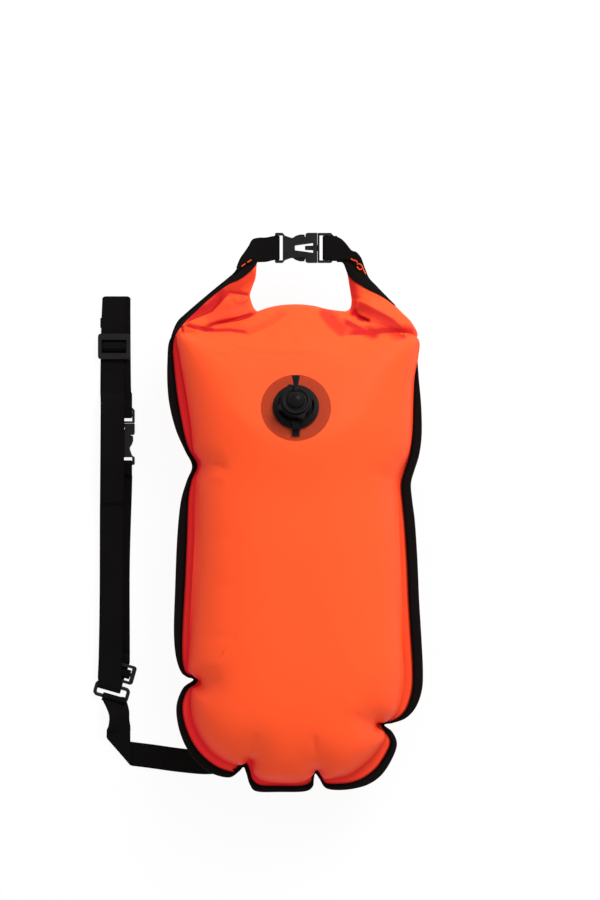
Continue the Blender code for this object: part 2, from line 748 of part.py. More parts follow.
def buckle_female(name, place, black):
    """The socket half: a flat housing, open at its mouth and at both sides for the prongs."""
    back = BUCKLE_MOUTH - BUCKLE_FEMALE_LENGTH
    window = BUCKLE_MOUTH - BUCKLE_BLOCK_LENGTH
    start = window - BUCKLE_WINDOW_LENGTH
    frame = back + BUCKLE_BAR + BUCKLE_SLOT
    upper = (
        (back, BUCKLE_HALF_WIDTH - EDGE_ROUND * 2),
        (back + EDGE_ROUND * 2, BUCKLE_HALF_WIDTH),
        (frame, BUCKLE_HALF_WIDTH),
        (frame + BUCKLE_SIDE_WALL, BUCKLE_WAIST + BUCKLE_SIDE_WALL),
        (start, BUCKLE_WAIST),
        (window, BUCKLE_WAIST),
        (window, BUCKLE_HALF_WIDTH - BUCKLE_SIDE_WALL / 2),
        (window + BUCKLE_SIDE_WALL, BUCKLE_HALF_WIDTH),
        (BUCKLE_MOUTH, BUCKLE_HALF_WIDTH),
    )
    outline = [(a, -b) for a, b in upper] + [(a, b) for a, b in reversed(upper)]
    half = BUCKLE_THICKNESS / 2
    part = add_object(name, prism(name, outline, -half, half), black)
    part.matrix_world = place
    round_edges(part)
    inner = BUCKLE_HALF_WIDTH - BUCKLE_SIDE_WALL
    depth = BUCKLE_MOUTH - PRONG_REACH - BUCKLE_SIDE_WALL
    high = half - BUCKLE_PLATE
    cavity = box_mesh("cavity", (depth, -inner, -high), (BUCKLE_MOUTH + OVERRUN, inner, high))
    slot_low = back + BUCKLE_BAR
    slot = box_mesh("slot", (slot_low, -BUCKLE_SLOT_HALF, -half - OVERRUN),
                    (slot_low + BUCKLE_SLOT, BUCKLE_SLOT_HALF, half + OVERRUN))
    thin = BUCKLE_BAR_THICKNESS / 2
    side = BUCKLE_SLOT_HALF - CUT_INSET
    over = box_mesh("over_bar", (back - OVERRUN, -side, thin),
                    (slot_low + OVERRUN / 2, side, half + OVERRUN))
    under = box_mesh("under_bar", (back - OVERRUN, -side, -half - OVERRUN),
                     (slot_low + OVERRUN / 2, side, -thin))
    sight = prism("sight", ((SIGHT_START, -TONGUE_HALF_WIDTH), (SIGHT_END, -TONGUE_HALF_WIDTH * 2),
                            (SIGHT_END, TONGUE_HALF_WIDTH * 2), (SIGHT_START, TONGUE_HALF_WIDTH)),
                  -half - OVERRUN, half + OVERRUN)
    cut(part, [cavity, slot, over, under, sight], place)
    return part


def buckle_male(name, place, black):
    """The tongue half: a frame for the webbing, with a guide tongue between the two prongs."""
    low = BUCKLE_MOUTH + GAP
    high = low + BUCKLE_MALE_LENGTH
    half = MALE_THICKNESS / 2
    width = BUCKLE_HALF_WIDTH
    corner = BUCKLE_BAR
    tongue = low - TONGUE_LENGTH
    tip = TONGUE_HALF_WIDTH * TONGUE_TIP_SHARE
    outline = ((low, -width), (high - corner, -width), (high, corner - width),
               (high, width - corner), (high - corner, width), (low, width),
               (low, TONGUE_HALF_WIDTH), (tongue, tip), (tongue, -tip), (low, -TONGUE_HALF_WIDTH))
    part = add_object(name, prism(name, outline, -half, half), black)
    part.matrix_world = place
    round_edges(part)
    first = low + MALE_SHOULDER
    bar = first + BUCKLE_SLOT
    second = bar + BUCKLE_BAR
    end = second + MALE_TAIL_SLOT
    slot = BUCKLE_SLOT_HALF
    side = slot - CUT_INSET
    cutters = [
        box_mesh("slot_near", (first, -slot, -half - OVERRUN), (bar, slot, half + OVERRUN)),
        box_mesh("slot_far", (second, -slot, -half - OVERRUN), (end, slot, half + OVERRUN)),
    ]
    levels = ((end - OVERRUN / 2, high + OVERRUN, side, MALE_TAIL_THICKNESS / 2),
              (bar - OVERRUN / 2, second + OVERRUN / 2, side, BUCKLE_BAR_THICKNESS / 2),
              (tongue - OVERRUN, low - CUT_INSET, slot, TONGUE_THICKNESS / 2))
    for start, stop, wide, level in levels:
        cutters.append(box_mesh("above", (start, -wide, level), (stop, wide, half + OVERRUN)))
        cutters.append(box_mesh("below", (start, -wide, -half - OVERRUN), (stop, wide, -level)))
    cut(part, cutters, place)
    return part


def buckle_prong(name, side, place, black):
    """A springy prong; its origin is on its root, beside the frame of the tongue half."""
    outline = []
    for along, across in PRONG_OUTLINE_SHARES:
        outline.append((-along * PRONG_REACH, side * (across * PRONG_HEAD - PRONG_ROOT)))
    half = PRONG_THICKNESS / 2
    part = add_object(name, prism(name, outline, -half, half), black)
    part.matrix_world = place
    round_edges(part)
    return part


def second_copy(part, name, place):
    """The finished shape of a piece once more, somewhere else."""
    shape = part.evaluated_get(bpy.context.evaluated_depsgraph_get())
    copy = bpy.data.objects.new(name, bpy.data.meshes.new_from_object(shape))
    copy.data.name = name
    bpy.context.scene.collection.objects.link(copy)
    copy.matrix_world = place


def make_buckles(black):
    """The handle's buckle, and the same again on the belt, turned by a right angle."""
    handle = Matrix.Translation((*HANDLE_BUCKLE, SEAM_Z))
    belt = Matrix.Translation((*BELT_BUCKLE, BUCKLE_THICKNESS / 2))
    belt = belt @ Matrix.Rotation(math.pi / 2, 4, "Z")
    female = buckle_female("handle_buckle_female", handle, black)
    male = buckle_male("handle_buckle_male", handle, black)
    second_copy(female, "belt_buckle_female", belt)
    second_copy(male, "belt_buckle_male", belt)
    root_x = BUCKLE_MOUTH - GAP / 2
    for side, handle_name, belt_name in ((1.0, "handle_prong_top", "belt_prong_left"),
                                         (-1.0, "handle_prong_bottom", "belt_prong_right")):
        root = Matrix.Translation((root_x, side * PRONG_ROOT, 0.0))
        prong = buckle_prong(handle_name, side, handle @ root, black)
        second_copy(prong, belt_name, belt @ root)


def female_bar():
    return BUCKLE_MOUTH - BUCKLE_FEMALE_LENGTH + BUCKLE_BAR / 2


def male_bar():
    return BUCKLE_MOUTH + GAP + MALE_SHOULDER + BUCKLE_SLOT + BUCKLE_BAR / 2


def male_hold():
    """How far the sewn tail must stay apart to pass the end bar of the tongue half."""
    return BUCKLE_BAR / 2 + MALE_TAIL_SLOT + BUCKLE_BAR + EDGE_ROUND * 2


def make_handle_webbing(black, roll):
    """Short webbing from each half of the buckle to the end of the rolled mouth under it."""
    buckle = Vector((*HANDLE_BUCKLE, SEAM_Z))
    columns = STRAP_COLUMN_SHARES
    for name, along, pull, hold, rows in (
        ("handle_webbing_left", female_bar(), -1.0, 0.0, LEFT_WEBBING_SHARES),
        ("handle_webbing_right", male_bar(), 1.0, male_hold(), RIGHT_WEBBING_SHARES),
    ):
        bar = buckle + Vector((along, 0.0, 0.0))
        wrap = bar_wrap(bar, (pull, 0.0, 0.0), (0.0, 0.0, 1.0), BUCKLE_BAR / 2, hold)
        stations = [(tuple(p), (0.0, 1.0, 0.0), WEB_WIDTH) for p in wrap]
        leave = wrap[-1]
        route = [(leave.x, leave.y, 0.0, 1.0, 1.0)]
        for x_share, y_share, side_x, side_y, width in rows:
            plan = mouth_point(x_share, y_share)
            route.append((plan[0], plan[1], side_x, side_y, width))
        path = smooth_path(route, 4)[1:]
        heights = []
        for x, y, side_x, side_y, width in path:
            reach = WEB_WIDTH * width
            under = max(top_over(roll, x + side_x * c * reach, y + side_y * c * reach)
                        for c in columns)
            heights.append(max(under + 2 * GAP + WEB_THICKNESS / 2, leave.z))
        for i, (x, y, side_x, side_y, width) in enumerate(path):
            high = max(heights[max(i - 1, 0):i + 2])
            stations.append(((x, y, high), (side_x, side_y, 0.0), WEB_WIDTH * width))
        add_object(name, strap_mesh(name, stations), black)


def ring_directions():
    along = Vector((math.cos(RING_TILT), math.sin(RING_TILT), 0.0))
    away = Vector((-math.sin(RING_TILT), math.cos(RING_TILT), 0.0))
    return along, away


def ring_bars():
    """Middle of the ring's belt bar and of its leash bar."""
    _, away = ring_directions()
    height = WEB_THICKNESS + GAP + RING_WIRE
    top = Vector((*RING_TOP_BAR, height))
    return top, top - away * RING_PITCH


def make_ring(black):
    """A moulded rectangular ring between the belt and the leash."""
    top, low = ring_bars()
    along, away = ring_directions()
    half_long = RING_LENGTH / 2 - RING_WIRE
    path = rounded_box_outline(half_long, RING_PITCH / 2, RING_CORNER, 3)
    middle = (top - low) / 2
    points = []
    count = len(path)
    for i, (x, y) in enumerate(path):
        ahead = path[(i + 1) % count]
        behind = path[i - 1]
        run = Vector((ahead[0] - behind[0], ahead[1] - behind[1])).normalized()
        for step in range(8):
            angle = 2.0 * math.pi * (step + 0.5) / 8
            out = RING_WIRE * math.cos(angle)
            rise = RING_WIRE * math.sin(angle)
            flat = along * (x + run.y * out) + away * (y - run.x * out)
            points.append(middle + flat + Vector((0.0, 0.0, rise)))
    mesh = mesh_from("leash_ring", points, ring_faces(count, 8, closed_along=True))
    part = add_object("leash_ring", mesh, black)
    part.location = low


def make_belt(black):
    """The waist belt, folded in two layers: its lower layer carries the buckle."""
    top, _ = ring_bars()
    along, away = ring_directions()
    level = WEB_THICKNESS / 2
    right = (1.0, 0.0, 0.0)
    down = (0.0, 0.0, -1.0)
    bar = Vector((BELT_BUCKLE[0], BELT_BUCKLE[1] + male_bar(), BUCKLE_THICKNESS / 2))
    wrap = bar_wrap(bar, (0.0, 1.0, 0.0), down, BUCKLE_BAR / 2, male_hold())
    route = [(*p, *right) for p in wrap]
    leave = wrap[-1]
    fold_y = BELT_TOP[1] - FOLD_RADIUS
    settle = leave.y + male_hold() + WEB_TAIL
    lower = [(*leave, *right),
             (leave.x, settle, leave.z, *right),
             (leave.x - BELT_FRONT_SHIFT / 4, settle + BELT_LIFT_RUN / 2, level, *right),
             (BELT_TOP[0], fold_y - BELT_LIFT_RUN, level, *right),
             (BELT_TOP[0], fold_y, level, *right)]
    route += [tuple(row) for row in smooth_path(lower, 3)[1:]]
    for step in range(1, 7):
        angle = math.pi * step / 6
        y = fold_y + FOLD_RADIUS * math.sin(angle)
        z = level + FOLD_RADIUS * (1.0 - math.cos(angle))
        route.append((BELT_TOP[0], y, z, *right))
    low = level + 2 * FOLD_RADIUS
    over = BUCKLE_THICKNESS + 2 * GAP + WEB_THICKNESS
    lift_end = BELT_BUCKLE[1] + BUCKLE_MOUTH + BUCKLE_MALE_LENGTH
    drop_start = BELT_BUCKLE[1] + BUCKLE_MOUTH - BUCKLE_FEMALE_LENGTH - RELEASE_TRAVEL
    front_x = BELT_TOP[0] - BELT_FRONT_SHIFT
    wrap_z = RING_WIRE + GAP + WEB_THICKNESS / 2
    arrive = top + away * BELT_LIFT_RUN + Vector((0.0, 0.0, wrap_z))
    last = top + Vector((0.0, 0.0, wrap_z))
    middle_x = front_x + BELT_FRONT_SHIFT / 4
    near_x = front_x + BELT_FRONT_SHIFT / 8
    front = [(BELT_TOP[0], fold_y, low, *right),
             (middle_x, SLIDER_CENTRE[1] + SLIDER_SIZE[1], low, *right),
             (middle_x - BELT_FRONT_SHIFT / 4, SLIDER_CENTRE[1], low, *right),
             (near_x, lift_end + BELT_LIFT_RUN, low, *right),
             (near_x, lift_end, over, *right),
             (front_x, drop_start, over, *right),
             (front_x, drop_start - BELT_LIFT_RUN, arrive.z + GAP, *right),
             (front_x, (drop_start + arrive.y) / 2 - BELT_LIFT_RUN, arrive.z, *right),
             (arrive.x, arrive.y + BELT_LIFT_RUN, arrive.z, *right),
             (*arrive, *along), (*last, *along)]
    route += [tuple(row) for row in smooth_path(front, 3)[1:]]
    for step in range(1, 9):
        angle = math.pi * step / 8
        point = top - away * (wrap_z * math.sin(angle)) + Vector((0.0, 0.0, wrap_z * math.cos(angle)))
        route.append((*point, *along))
    under = Vector(route[-1][:3])
    square = BELT_SPLIT_Y - BELT_LIFT_RUN / 2
    back_x = BELT_BUCKLE[0] - BELT_FRONT_SHIFT / 2
    rise = [(*under, *along), (*(under + away * BELT_LIFT_RUN / 2), *along),
            (back_x, square, level, *right)]
    route += [tuple(row) for row in smooth_path(rise, 3)[1:]]
    route.append((back_x, BELT_SPLIT_Y, level, *right))
    stations = [((x, y, max(z, level)), side, WEB_WIDTH) for x, y, z, *side in route]
    add_object("belt_webbing", strap_mesh("belt_webbing", stations), black)
    bar = Vector((BELT_BUCKLE[0], BELT_BUCKLE[1] + female_bar(), BUCKLE_THICKNESS / 2))
    wrap = bar_wrap(bar, (0.0, -1.0, 0.0), down, BUCKLE_BAR / 2)
    route = [(*p, *right) for p in wrap]
    leave = wrap[-1]
    settle = leave.y - WEB_TAIL
    lower = [(*leave, *right),
             (leave.x, settle, leave.z, *right),
             (leave.x, settle - BELT_LIFT_RUN / 2, level, *right),
             (back_x, (settle + BELT_SPLIT_Y) / 2, level, *right),
             (back_x, BELT_SPLIT_Y + BELT_LIFT_RUN / 2, level, *right)]
    route += [tuple(row) for row in smooth_path(lower, 3)[1:]]
    route.append((back_x, BELT_SPLIT_Y + GAP, level, *right))
    stations = [((x, y, max(z, level)), side, WEB_WIDTH) for x, y, z, *side in route]
    add_object("belt_webbing_short", strap_mesh("belt_webbing_short", stations), black)


def make_slider(name, centre, size, turn, low, black):
    """A three-bar slider on a flat strap, with the webbing that is sewn round its middle bar."""
    place = Matrix.Translation((centre[0], centre[1], low)) @ Matrix.Rotation(turn, 4, "Z")
    outline = rounded_box_outline(size[0] / 2, size[1] / 2, SLIDER_CORNER)
    part = add_object(name, prism(name, outline, 0.0, size[2]), black)
    part.matrix_world = place
    round_edges(part)
    half_bar = SLIDER_BAR / 2
    reach = half_bar + SLIDER_SLOT
    cutters = []
    for side in (1.0, -1.0):
        y = sorted((side * half_bar, side * reach))
        cutters.append(box_mesh("slot", (-SLIDER_SLOT_HALF, y[0], -OVERRUN),
                                (SLIDER_SLOT_HALF, y[1], size[2] + OVERRUN)))
    cutters.append(box_mesh("bar_top", (-SLIDER_SLOT_HALF, -half_bar - EDGE_ROUND, SLIDER_BAR_THICKNESS),
                            (SLIDER_SLOT_HALF, half_bar + EDGE_ROUND, size[2] + OVERRUN)))
    cut(part, cutters, place)
    foot = WEB_THICKNESS / 2
    crest = SLIDER_BAR_THICKNESS + GAP + WEB_THICKNESS / 2
    lean = half_bar + GAP + WEB_THICKNESS / 2
    rows = ((-lean - WEB_THICKNESS, foot), (-lean, foot + crest * CREST_FOOT_SHARE), (-half_bar, crest),
            (half_bar, crest), (lean, foot + crest * CREST_FOOT_SHARE), (lean + WEB_THICKNESS, foot))
    stations = [((0.0, y, z), (1.0, 0.0, 0.0), WEB_WIDTH) for y, z in smooth_path(rows, 2)]
    mesh = strap_mesh(f"{name}_webbing", stations, WEB_THICKNESS / 2)
    part = add_object(f"{name}_webbing", mesh, black)
    part.matrix_world = place


def strap_rows(route, columns):
    """Points across a strap at each row of a route, with the way out of its face."""
    centres = [Vector(row[:3]) for row in route]
    rows = []
    for i, centre in enumerate(centres):
        along = (centres[min(i + 1, len(centres) - 1)] - centres[max(i - 1, 0)]).normalized()
        side = Vector(route[i][3:6])
        side = (side - along * side.dot(along)).normalized()
        face = along.cross(side)
        rows.append([(centre + side * (c * WEB_WIDTH), face) for c in columns])
    return rows


def fold_rows(corner, columns, reach, steps):
    """A strap that comes in towards -Y, rolls over a diagonal line and leaves underneath."""
    axis = Vector((math.cos(LEASH_FOLD_ANGLE), -math.sin(LEASH_FOLD_ANGLE), 0.0))
    across = Vector((axis.y, -axis.x, 0.0))
    up = Vector((0.0, 0.0, 1.0))
    radius = LEASH_FOLD_RADIUS
    rows = []
    for step in range(steps + 1):
        run = reach * (2.0 * step / steps - 1.0)
        row = []
        for column in columns:
            flat = Vector((column * WEB_WIDTH, -run, 0.0))
            over = flat.dot(across)
            keep = flat - across * over
            angle = min(max(over / radius, 0.0), math.pi)
            past = max(over - math.pi * radius, 0.0)
            place = keep + across * (min(over, 0.0) + radius * math.sin(angle) - past)
            drop = radius * (1.0 - math.cos(angle))
            normal = across * math.sin(angle) + up * math.cos(angle)
            row.append((corner + place - up * drop, normal))
        rows.append(row)
    return rows


def make_leash(black):
    """Flat webbing from the ring, folded over at a corner, to the patch on the back."""
    _, low = ring_bars()
    along, away = ring_directions()
    level = WEB_THICKNESS / 2
    high = level + 2 * LEASH_FOLD_RADIUS
    corner = Vector((*LEASH_FOLD, high))
    right = (1.0, 0.0, 0.0)
    columns = STRAP_COLUMN_SHARES
    wrap = bar_wrap(low, -away, (0.0, 0.0, -1.0), RING_WIRE)
    leave = wrap[-1]
    reach = WEB_WIDTH * LEASH_REACH_SHARE
    start = Vector((corner.x, corner.y + reach, high))
    down = [(*leave, *along),
            (*(leave - away * WEB_TAIL), *along),
            (*(leave - away * WEB_TAIL).lerp(start, 1.0 - LEASH_TURN_SHARE), *right),
            (*start, *right)]
    route = [(*p, *along) for p in wrap] + [tuple(row) for row in smooth_path(down, 2)[1:-1]]
    route = [(x, y, max(z, level), *side) for x, y, z, *side in route]
    rows = strap_rows(route, columns)
    folded = fold_rows(corner, columns, reach, 20)
    last = folded[-1]
    middle = last[2][0]
    side = (last[-1][0] - last[0][0]).normalized()
    out = Vector((-side.y, side.x, 0.0))
    under = [(*middle, *side), (*(middle + out * LEASH_STRAIGHT), *side)]
    for x, rise in LEASH_FLOOR_RISES:
        under.append((x, BODY_BOTTOM_Y + rise, level, 0.0, -1.0, 0.0))
    lift = PATCH_THICKNESS + 4 * GAP + WEB_THICKNESS / 2
    slacks = (WEB_WIDTH / 4, GAP, 0.0, 0.0)
    for share, slack in zip(LEASH_END_SHARES, slacks):
        plan = (PATCH_CENTRE[0] + share * PATCH_SIZE[0], PATCH_CENTRE[1])
        normal, surface = back_surface(plan)
        slope = normal.cross(Vector((1.0, 0.0, 0.0)))
        under.append((*(surface + normal * (lift + slack)), *slope))
    route = []
    for x, y, z, *side in smooth_path(under, 3)[1:]:
        lowest = level + WEB_WIDTH / 2 * abs(Vector(side).normalized().z)
        route.append((x, y, max(z, lowest), *side))
    everything = rows + folded + strap_rows(route, columns)
    points = []
    for row in everything:
        for place, normal in row:
            points.append(place + normal * level)
        for place, normal in reversed(row):
            points.append(place - normal * level)
    mesh = mesh_from("leash", points, ring_faces(len(everything), 2 * len(columns)))
    add_object("leash", mesh, black)


def back_surface(plan):
    """A point on the outside of the back panel and the way out of it."""
    step = EDGE_ROUND
    at = np.array([plan, (plan[0] + step, plan[1]), (plan[0], plan[1] + step)])
    z = back_shape(at) - FABRIC / 2
    here = Vector((plan[0], plan[1], z[0]))
    slope_x = Vector((step, 0.0, z[1] - z[0]))
    slope_y = Vector((0.0, step, z[2] - z[0]))
    normal = slope_y.cross(slope_x).normalized()
    return normal, here


def make_patch(orange):
    """The welded patch that holds the leash, bedded on the back panel."""
    steps = 6
    inner = []
    outer = []
    for i in range(steps + 1):
        for j in range(steps + 1):
            x = PATCH_CENTRE[0] + PATCH_SIZE[0] * (i / steps - 0.5)
            y = PATCH_CENTRE[1] + PATCH_SIZE[1] * (j / steps - 0.5)
            normal, here = back_surface((x, y))
            inner.append(here + normal * GAP)
            outer.append(here + normal * (GAP + PATCH_THICKNESS))
    count = steps + 1
    total = count * count
    faces = []
    for i in range(steps):
        for j in range(steps):
            a = i * count + j
            faces.append((a, a + 1, a + count + 1, a + count))
            faces.append((total + a, total + a + count, total + a + count + 1, total + a + 1))
    rim = list(range(steps))
    rim += [i * count + steps for i in range(steps)]
    rim += [steps * count + j for j in range(steps, 0, -1)]
    rim += [i * count for i in range(steps, 0, -1)]
    for k, a in enumerate(rim):
        b = rim[(k + 1) % len(rim)]
        faces.append((a, b, total + b, total + a))
    add_object("leash_patch", mesh_from("leash_patch", inner + outer, faces), orange)


def make_valve(black, clear, rubber):
    """A two-stage valve: base and weld flange, screwed-in body with a flap, and a cap."""
    place = valve_frame()
    weld_top = WELD_THICKNESS

    def add(name, mesh, finish):
        part = add_object(name, mesh, finish)
        part.matrix_world = place
        return part

    weld = ((BORE_RADIUS + GAP, 0.0), (WELD_RADIUS, 0.0), (WELD_RADIUS, weld_top / 2),
            (WELD_RADIUS - weld_top, weld_top), (BORE_RADIUS + GAP, weld_top))
    add("valve_weld_flange", revolve("valve_weld_flange", weld, 40), clear)

    low = weld_top + GAP
    step = low + BASE_STEP
    rim = BASE_RADIUS - 2 * BASE_STEP_IN
    shelf = rim - BASE_WALL
    inside = BORE_RADIUS - BASE_WALL
    base = (
        (BASE_RADIUS, low),
        (BASE_RADIUS, step - EDGE_ROUND),
        (BASE_RADIUS - EDGE_ROUND, step),
        (BASE_RADIUS - BASE_STEP_IN, step),
        (BASE_RADIUS - BASE_STEP_IN, step + BASE_STEP),
        (rim, step + BASE_STEP),
        (rim, BASE_HEIGHT - EDGE_ROUND),
        (rim - EDGE_ROUND, BASE_HEIGHT),
        (shelf, BASE_HEIGHT),
        (shelf, step),
        (inside, step - BASE_STEP / 2),
        (inside, -BASE_DEPTH),
        (BORE_RADIUS, -BASE_DEPTH),
        (BORE_RADIUS, low),
    )
    add("valve_base", revolve("valve_base", base, 36), black)

    stem = inside - GAP
    seat = step + GAP
    collar = shelf - TAB_THICKNESS - RETAINER_ROOM
    body = (
        (stem - STEM_WALL, -STEM_DEPTH),
        (stem, -STEM_DEPTH),
        (stem, step - BASE_STEP / 2),
        (collar, seat + 2 * SEAL_WIRE),
        (NECK_RADIUS, BASE_HEIGHT),
        (NECK_RADIUS, LOBE_Z + EDGE_ROUND),
    )
    lobed_body(place, body, stem - STEM_WALL, black)
    seal_out = collar + GAP
    seal_up = step + SEAL_WIRE * SEAL_LIFT_SHARE
    turns = [corner * math.pi / 4 for corner in range(8)]
    seal = [(seal_out + SEAL_WIRE * math.cos(turn), seal_up + SEAL_WIRE * math.sin(turn)) for turn in turns]
    add("valve_seal", revolve("valve_seal", seal, 32), rubber)

    flap_z = -STEM_DEPTH - GAP - DIAPHRAGM_THICKNESS
    flap = (
        (0.0, flap_z),
        (stem - EDGE_ROUND, flap_z),
        (stem - EDGE_ROUND, flap_z + DIAPHRAGM_THICKNESS / 2),
        (stem - STEM_WALL, flap_z + DIAPHRAGM_THICKNESS),
        (0.0, flap_z + DIAPHRAGM_THICKNESS),
    )
    add("valve_flap", revolve_capped("valve_flap", flap, 24), rubber)

    cap_low = LOBE_Z + LOBE_THICKNESS + GAP
    cap_high = cap_low + CAP_THICKNESS
    cap = (
        (0.0, cap_low - PLUG_DEPTH),
        (PLUG_RADIUS - EDGE_ROUND, cap_low - PLUG_DEPTH),
        (PLUG_RADIUS, cap_low - PLUG_DEPTH + EDGE_ROUND),
        (PLUG_RADIUS, cap_low),
        (CAP_RADIUS - EDGE_ROUND, cap_low),
        (CAP_RADIUS, cap_low + EDGE_ROUND),
        (CAP_RADIUS, cap_high - EDGE_ROUND * 2),
        (CAP_RADIUS - EDGE_ROUND * 2, cap_high),
        (CAP_RADIUS - EDGE_ROUND * 5, cap_high),
        (CAP_RADIUS - EDGE_ROUND * 6, cap_high - EDGE_ROUND * 2),
        (CAP_DOME_RADIUS, cap_high - EDGE_ROUND * 2),
        *((CAP_DOME_RADIUS * out, cap_high + CAP_DOME_HEIGHT * rise) for out, rise in CAP_DOME_SHARES),
        (0.0, cap_high + CAP_DOME_HEIGHT),
    )
    add("valve_cap", revolve_capped("valve_cap", cap, 32), black)
    tab_low = cap_high + GAP + TAB_THICKNESS / 2
    reach = CAP_DOME_RADIUS + GAP
    widen, end = TAB_BEND_SHARES
    rows = (
        (reach, tab_low, TAB_WIDTH),
        (CAP_RADIUS - TAB_THICKNESS, tab_low + GAP, TAB_WIDTH),
        (CAP_RADIUS + TAB_WIDTH / 2, tab_low - TAB_THICKNESS / 2, TAB_WIDTH * widen),
        (CAP_RADIUS + TAB_WIDTH * end, tab_low - TAB_WIDTH, TAB_FLARE),
    )
    stations = [((0.0, y, z), (1.0, 0.0, 0.0), w) for y, z, w in smooth_path(rows, 4)]
    mesh = strap_mesh("valve_pull_tab", stations, TAB_THICKNESS)
    add("valve_pull_tab", mesh, black)

    rest = WELD_THICKNESS + GAP + TAB_THICKNESS / 2
    over = BASE_HEIGHT + GAP + TAB_THICKNESS / 2
    inner = shelf - 3 * GAP - TAB_THICKNESS / 2
    rows = (
        (inner, step + GAP + TAB_THICKNESS, RETAINER_WIDTH),
        (inner, over - BASE_STEP / 2, RETAINER_WIDTH),
        (shelf + EDGE_ROUND, over + GAP, RETAINER_WIDTH),
        (rim + EDGE_ROUND, over, RETAINER_WIDTH),
        (BASE_RADIUS, step + BASE_STEP + TAB_THICKNESS, RETAINER_WIDTH),
        (BASE_RADIUS + TAB_THICKNESS + GAP * 2, low + TAB_THICKNESS, RETAINER_WIDTH),
        (BASE_RADIUS + RETAINER_WIDTH, rest, RETAINER_WIDTH),
    )
    stations = [((0.0, -y, z), (1.0, 0.0, 0.0), w) for y, z, w in smooth_path(rows, 3)]
    mesh = strap_mesh("valve_retainer", stations, TAB_THICKNESS)
    add("valve_retainer", mesh, black)


def lobed_body(place, lower, bore, black):
    """The screw-in body: a turned stem under a head with four finger lobes."""
    steps = 40
    under, over = LOBE_EDGE_SHARES
    head = (
        (LOBE_Z, under),
        (LOBE_Z + EDGE_ROUND, 1.0),
        (LOBE_Z + LOBE_THICKNESS - EDGE_ROUND, 1.0),
        (LOBE_Z + LOBE_THICKNESS, over),
    )
    profile = list(lower)
    points = []
    size = len(profile) + len(head) + 1
    for step in range(steps):
        angle = 2.0 * math.pi * step / steps
        wave = max(math.cos(4.0 * (angle - LOBE_TURN)), 0.0)
        lobe = LOBE_RADIUS + LOBE_REACH * wave ** LOBE_POWER
        cos, sin = math.cos(angle), math.sin(angle)
        for radius, height in profile:
            points.append((radius * cos, radius * sin, height))
        points.append((NECK_RADIUS * cos, NECK_RADIUS * sin, LOBE_Z - EDGE_ROUND))
        for height, share in head:
            radius = lobe * share
            points.append((radius * cos, radius * sin, height))
    for step in range(steps):
        angle = 2.0 * math.pi * step / steps
        points.append((bore * math.cos(angle), bore * math.sin(angle), LOBE_Z + LOBE_THICKNESS))
    total = steps * size
    faces = []
    for step in range(steps):
        after = (step + 1) % steps
        here, there = step * size, after * size
        for j in range(size - 1):
            faces.append((here + j, there + j, there + j + 1, here + j + 1))
        faces.append((here + size - 1, there + size - 1, total + after, total + step))
        faces.append((total + step, total + after, there, here))
    mesh = mesh_from("valve_body", points, faces)
    part = add_object("valve_body", mesh, black)
    part.matrix_world = place


def main():
    clear_scene()
    orange = material("coated_fabric", (0.98, 0.14, 0.04), 0.45)
    inner_wall = material("dry_bag_film", (0.55, 0.56, 0.58), 0.5)
    webbing = material("black_webbing", (0.008, 0.007, 0.007), 0.8)
    acetal = material("black_plastic", (0.022, 0.021, 0.021), 0.38)
    film = material("smoky_film", (0.30, 0.07, 0.03), 0.35)
    rubber = material("black_rubber", (0.015, 0.014, 0.014), 0.6)
    make_panels(orange, inner_wall)
    make_binding(webbing)
    roll = make_mouth(orange, webbing)
    make_buckles(acetal)
    make_handle_webbing(webbing, roll)
    make_ring(acetal)
    make_belt(webbing)
    slider_low = WEB_THICKNESS + 2 * FOLD_RADIUS + GAP
    make_slider("belt_slider", SLIDER_CENTRE, SLIDER_SIZE, 0.0, slider_low, acetal)
    keeper_low = WEB_THICKNESS + GAP
    make_slider("belt_keeper", KEEPER_CENTRE, KEEPER_SIZE, RING_TILT, keeper_low, acetal)
    make_leash(webbing)
    make_patch(orange)
    make_valve(acetal, film, rubber)


main()
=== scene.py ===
# %% [markdown]
# # An open water swim buoy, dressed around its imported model
#
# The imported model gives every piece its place, its body and its size. This script gives the
# pieces their looks: blown-up coated cloth, a folded mouth, woven webbing, moulded plastic.
# All lengths are in metres, +X is the buoy's right, +Y runs towards the handle and +Z is up.

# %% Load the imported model
import math

import bmesh
import bpy
import numpy as np
from mathutils import Matrix, Vector
from mathutils.bvhtree import BVHTree


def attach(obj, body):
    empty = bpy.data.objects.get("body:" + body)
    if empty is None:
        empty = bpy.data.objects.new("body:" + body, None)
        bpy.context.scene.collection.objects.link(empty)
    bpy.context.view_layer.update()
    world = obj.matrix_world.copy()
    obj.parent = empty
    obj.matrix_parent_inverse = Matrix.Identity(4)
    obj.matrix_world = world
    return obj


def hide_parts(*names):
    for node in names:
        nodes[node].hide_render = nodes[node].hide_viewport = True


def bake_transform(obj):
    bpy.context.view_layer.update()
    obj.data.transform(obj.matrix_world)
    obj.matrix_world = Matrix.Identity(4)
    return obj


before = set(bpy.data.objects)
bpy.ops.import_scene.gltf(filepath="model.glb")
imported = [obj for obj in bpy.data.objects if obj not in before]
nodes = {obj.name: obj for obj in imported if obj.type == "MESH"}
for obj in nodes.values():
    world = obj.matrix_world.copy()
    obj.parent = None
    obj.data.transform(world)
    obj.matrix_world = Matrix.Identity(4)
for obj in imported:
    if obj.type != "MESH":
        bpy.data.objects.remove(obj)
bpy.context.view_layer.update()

# %% [markdown]
# ## The camera and the reading of the photograph
#
# The photograph looks straight down on the buoy from far away. A long lens 3.2 m above the
# floor gives the same small amount of perspective. Two short functions turn a place in the
# photograph into a place on the object, for any height over the floor, and back again, so
# that folds and seams can be laid where the photograph shows them.

